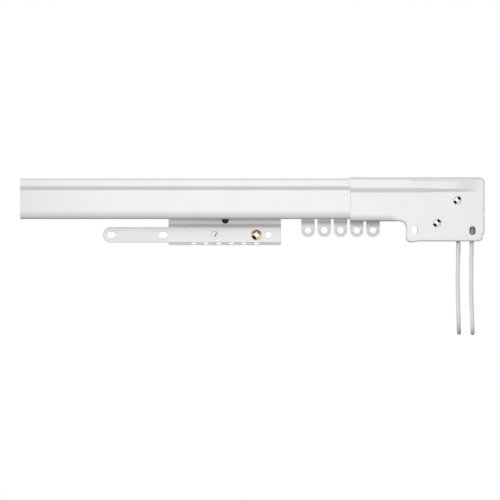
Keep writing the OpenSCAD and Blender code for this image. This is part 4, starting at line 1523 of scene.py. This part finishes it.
def add_world():
    """White behind the object, and soft light that is stronger from above than from below."""
    world = bpy.data.worlds.new("studio")
    bpy.context.scene.world = world
    world.use_nodes = True
    tree = world.node_tree
    tree.nodes.clear()
    split = add_node(tree, "SeparateXYZ")
    feed(split, "Vector", add_node(tree, "TexCoord").outputs["Generated"])
    height = add_node(tree, "MapRange", From_Min=-1)
    feed(height, "Value", split.outputs["Z"])
    soft = add_node(tree, "Background")
    ground, sky = [GROUND_GREY] * 3, [SKY_GREY] * 3
    feed(soft, "Color", add_ramp(tree, height.outputs["Result"], ground, sky, *SKY_RANGE))
    white = add_node(tree, "Background", Color=(1, 1, 1, 1))
    path = add_node(tree, "LightPath")
    seen = path.outputs["Is Camera Ray"]
    for other in ("Is Glossy Ray", "Is Transmission Ray"):
        either = add_node(tree, "Math")
        either.operation = "MAXIMUM"
        feed(either, 0, seen)
        feed(either, 1, path.outputs[other])
        seen = either.outputs["Value"]
    mix = add_node(tree, "MixShader")
    feed(mix, "Fac", seen)
    feed(mix, 1, soft.outputs["Background"])
    feed(mix, 2, white.outputs["Background"])
    feed(add_node(tree, "OutputWorld"), "Surface", mix.outputs["Shader"])


def add_stage_plane(name, corners, grey):
    """Flat stage piece with its own plain material, and that material's shader."""
    mesh = bpy.data.meshes.new(name)
    mesh.from_pydata(corners, [], [(0, 1, 2, 3)])
    shader = new_material(name, Base_Color=(grey, grey, grey, 1), Roughness=0.9)
    mesh.materials.append(FINISHES[name])
    stage = add_object(name, mesh)
    return stage, shader


def add_card(name, corners, grey):
    """Stage piece that only reflections show."""
    card, _ = add_stage_plane(name, corners, grey)
    card.visible_camera = False
    card.visible_diffuse = False
    card.visible_transmission = False
    card.visible_shadow = False


def add_dark_card(name, toward):
    """Dark card in front of the axles and off to the corner named by toward."""
    axle = span("upper_axle")[2] * MM
    middle = axle + CARD_AWAY * Vector((toward[0], -1, toward[1]))
    across = Vector((toward[0], 1, 0)).normalized() * CARD_HALF
    up = (axle - middle).normalized().cross(across)
    add_card(name, [middle + across * u + up * v for u, v in SQUARE], CARD_GREY)


def add_tunnel():
    """Dark cards above, below and beside the track, which draw its edges against the white."""
    front, back = TUNNEL_Y
    for k, name in enumerate(("right_card", "top_card", "left_card", "bottom_card")):
        turn = math.pi / 2 * k
        out = Vector((math.cos(turn), 0, math.sin(turn))) * TUNNEL_HALF
        side = Vector((-out.z, 0, out.x))
        places = ((-1, front), (1, front), (1, back), (-1, back))
        add_card(name, [out + side * s + Vector((0, y, 0)) for s, y in places], TUNNEL_GREY)


def add_floor():
    """Pale floor, a little lighter to the camera, which keeps the object's shadow."""
    corners = [(FLOOR_HALF * x, FLOOR_HALF * y, FLOOR_Z) for x, y in SQUARE]
    floor, shader = add_stage_plane("floor", corners, FLOOR_GREY)
    floor.visible_diffuse = False
    floor.visible_glossy = False
    set_inputs(shader, {"Emission Color": (FLOOR_GLOW, FLOOR_GLOW, FLOOR_GLOW, 1)})
    feed(shader, "Emission Strength", add_node(shader, "LightPath").outputs["Is Camera Ray"])


def add_studio():
    bpy.context.scene.view_settings.view_transform = "Standard"
    add_world()
    add_softbox("key_light", KEY_POWER, (0.4, 0.16), (-0.06, -0.77, 0.17), (-0.02, -0.04, 0))
    add_softbox("fill_light", FILL_POWER, (0.5, 0.25), (0.07, -1.2, -0.06), (0, -0.03, 0))
    for name, x in (("left_back_light", -0.55), ("right_back_light", 0.55)):
        add_softbox(name, BACK_POWER, (0.4, 0.3), (x, 0.85, 0.05), (0, -0.03, 0))
    add_dark_card("upper_card", (1, 1))
    add_dark_card("lower_card", (-1, -1))
    add_tunnel()
    add_floor()


add_studio()
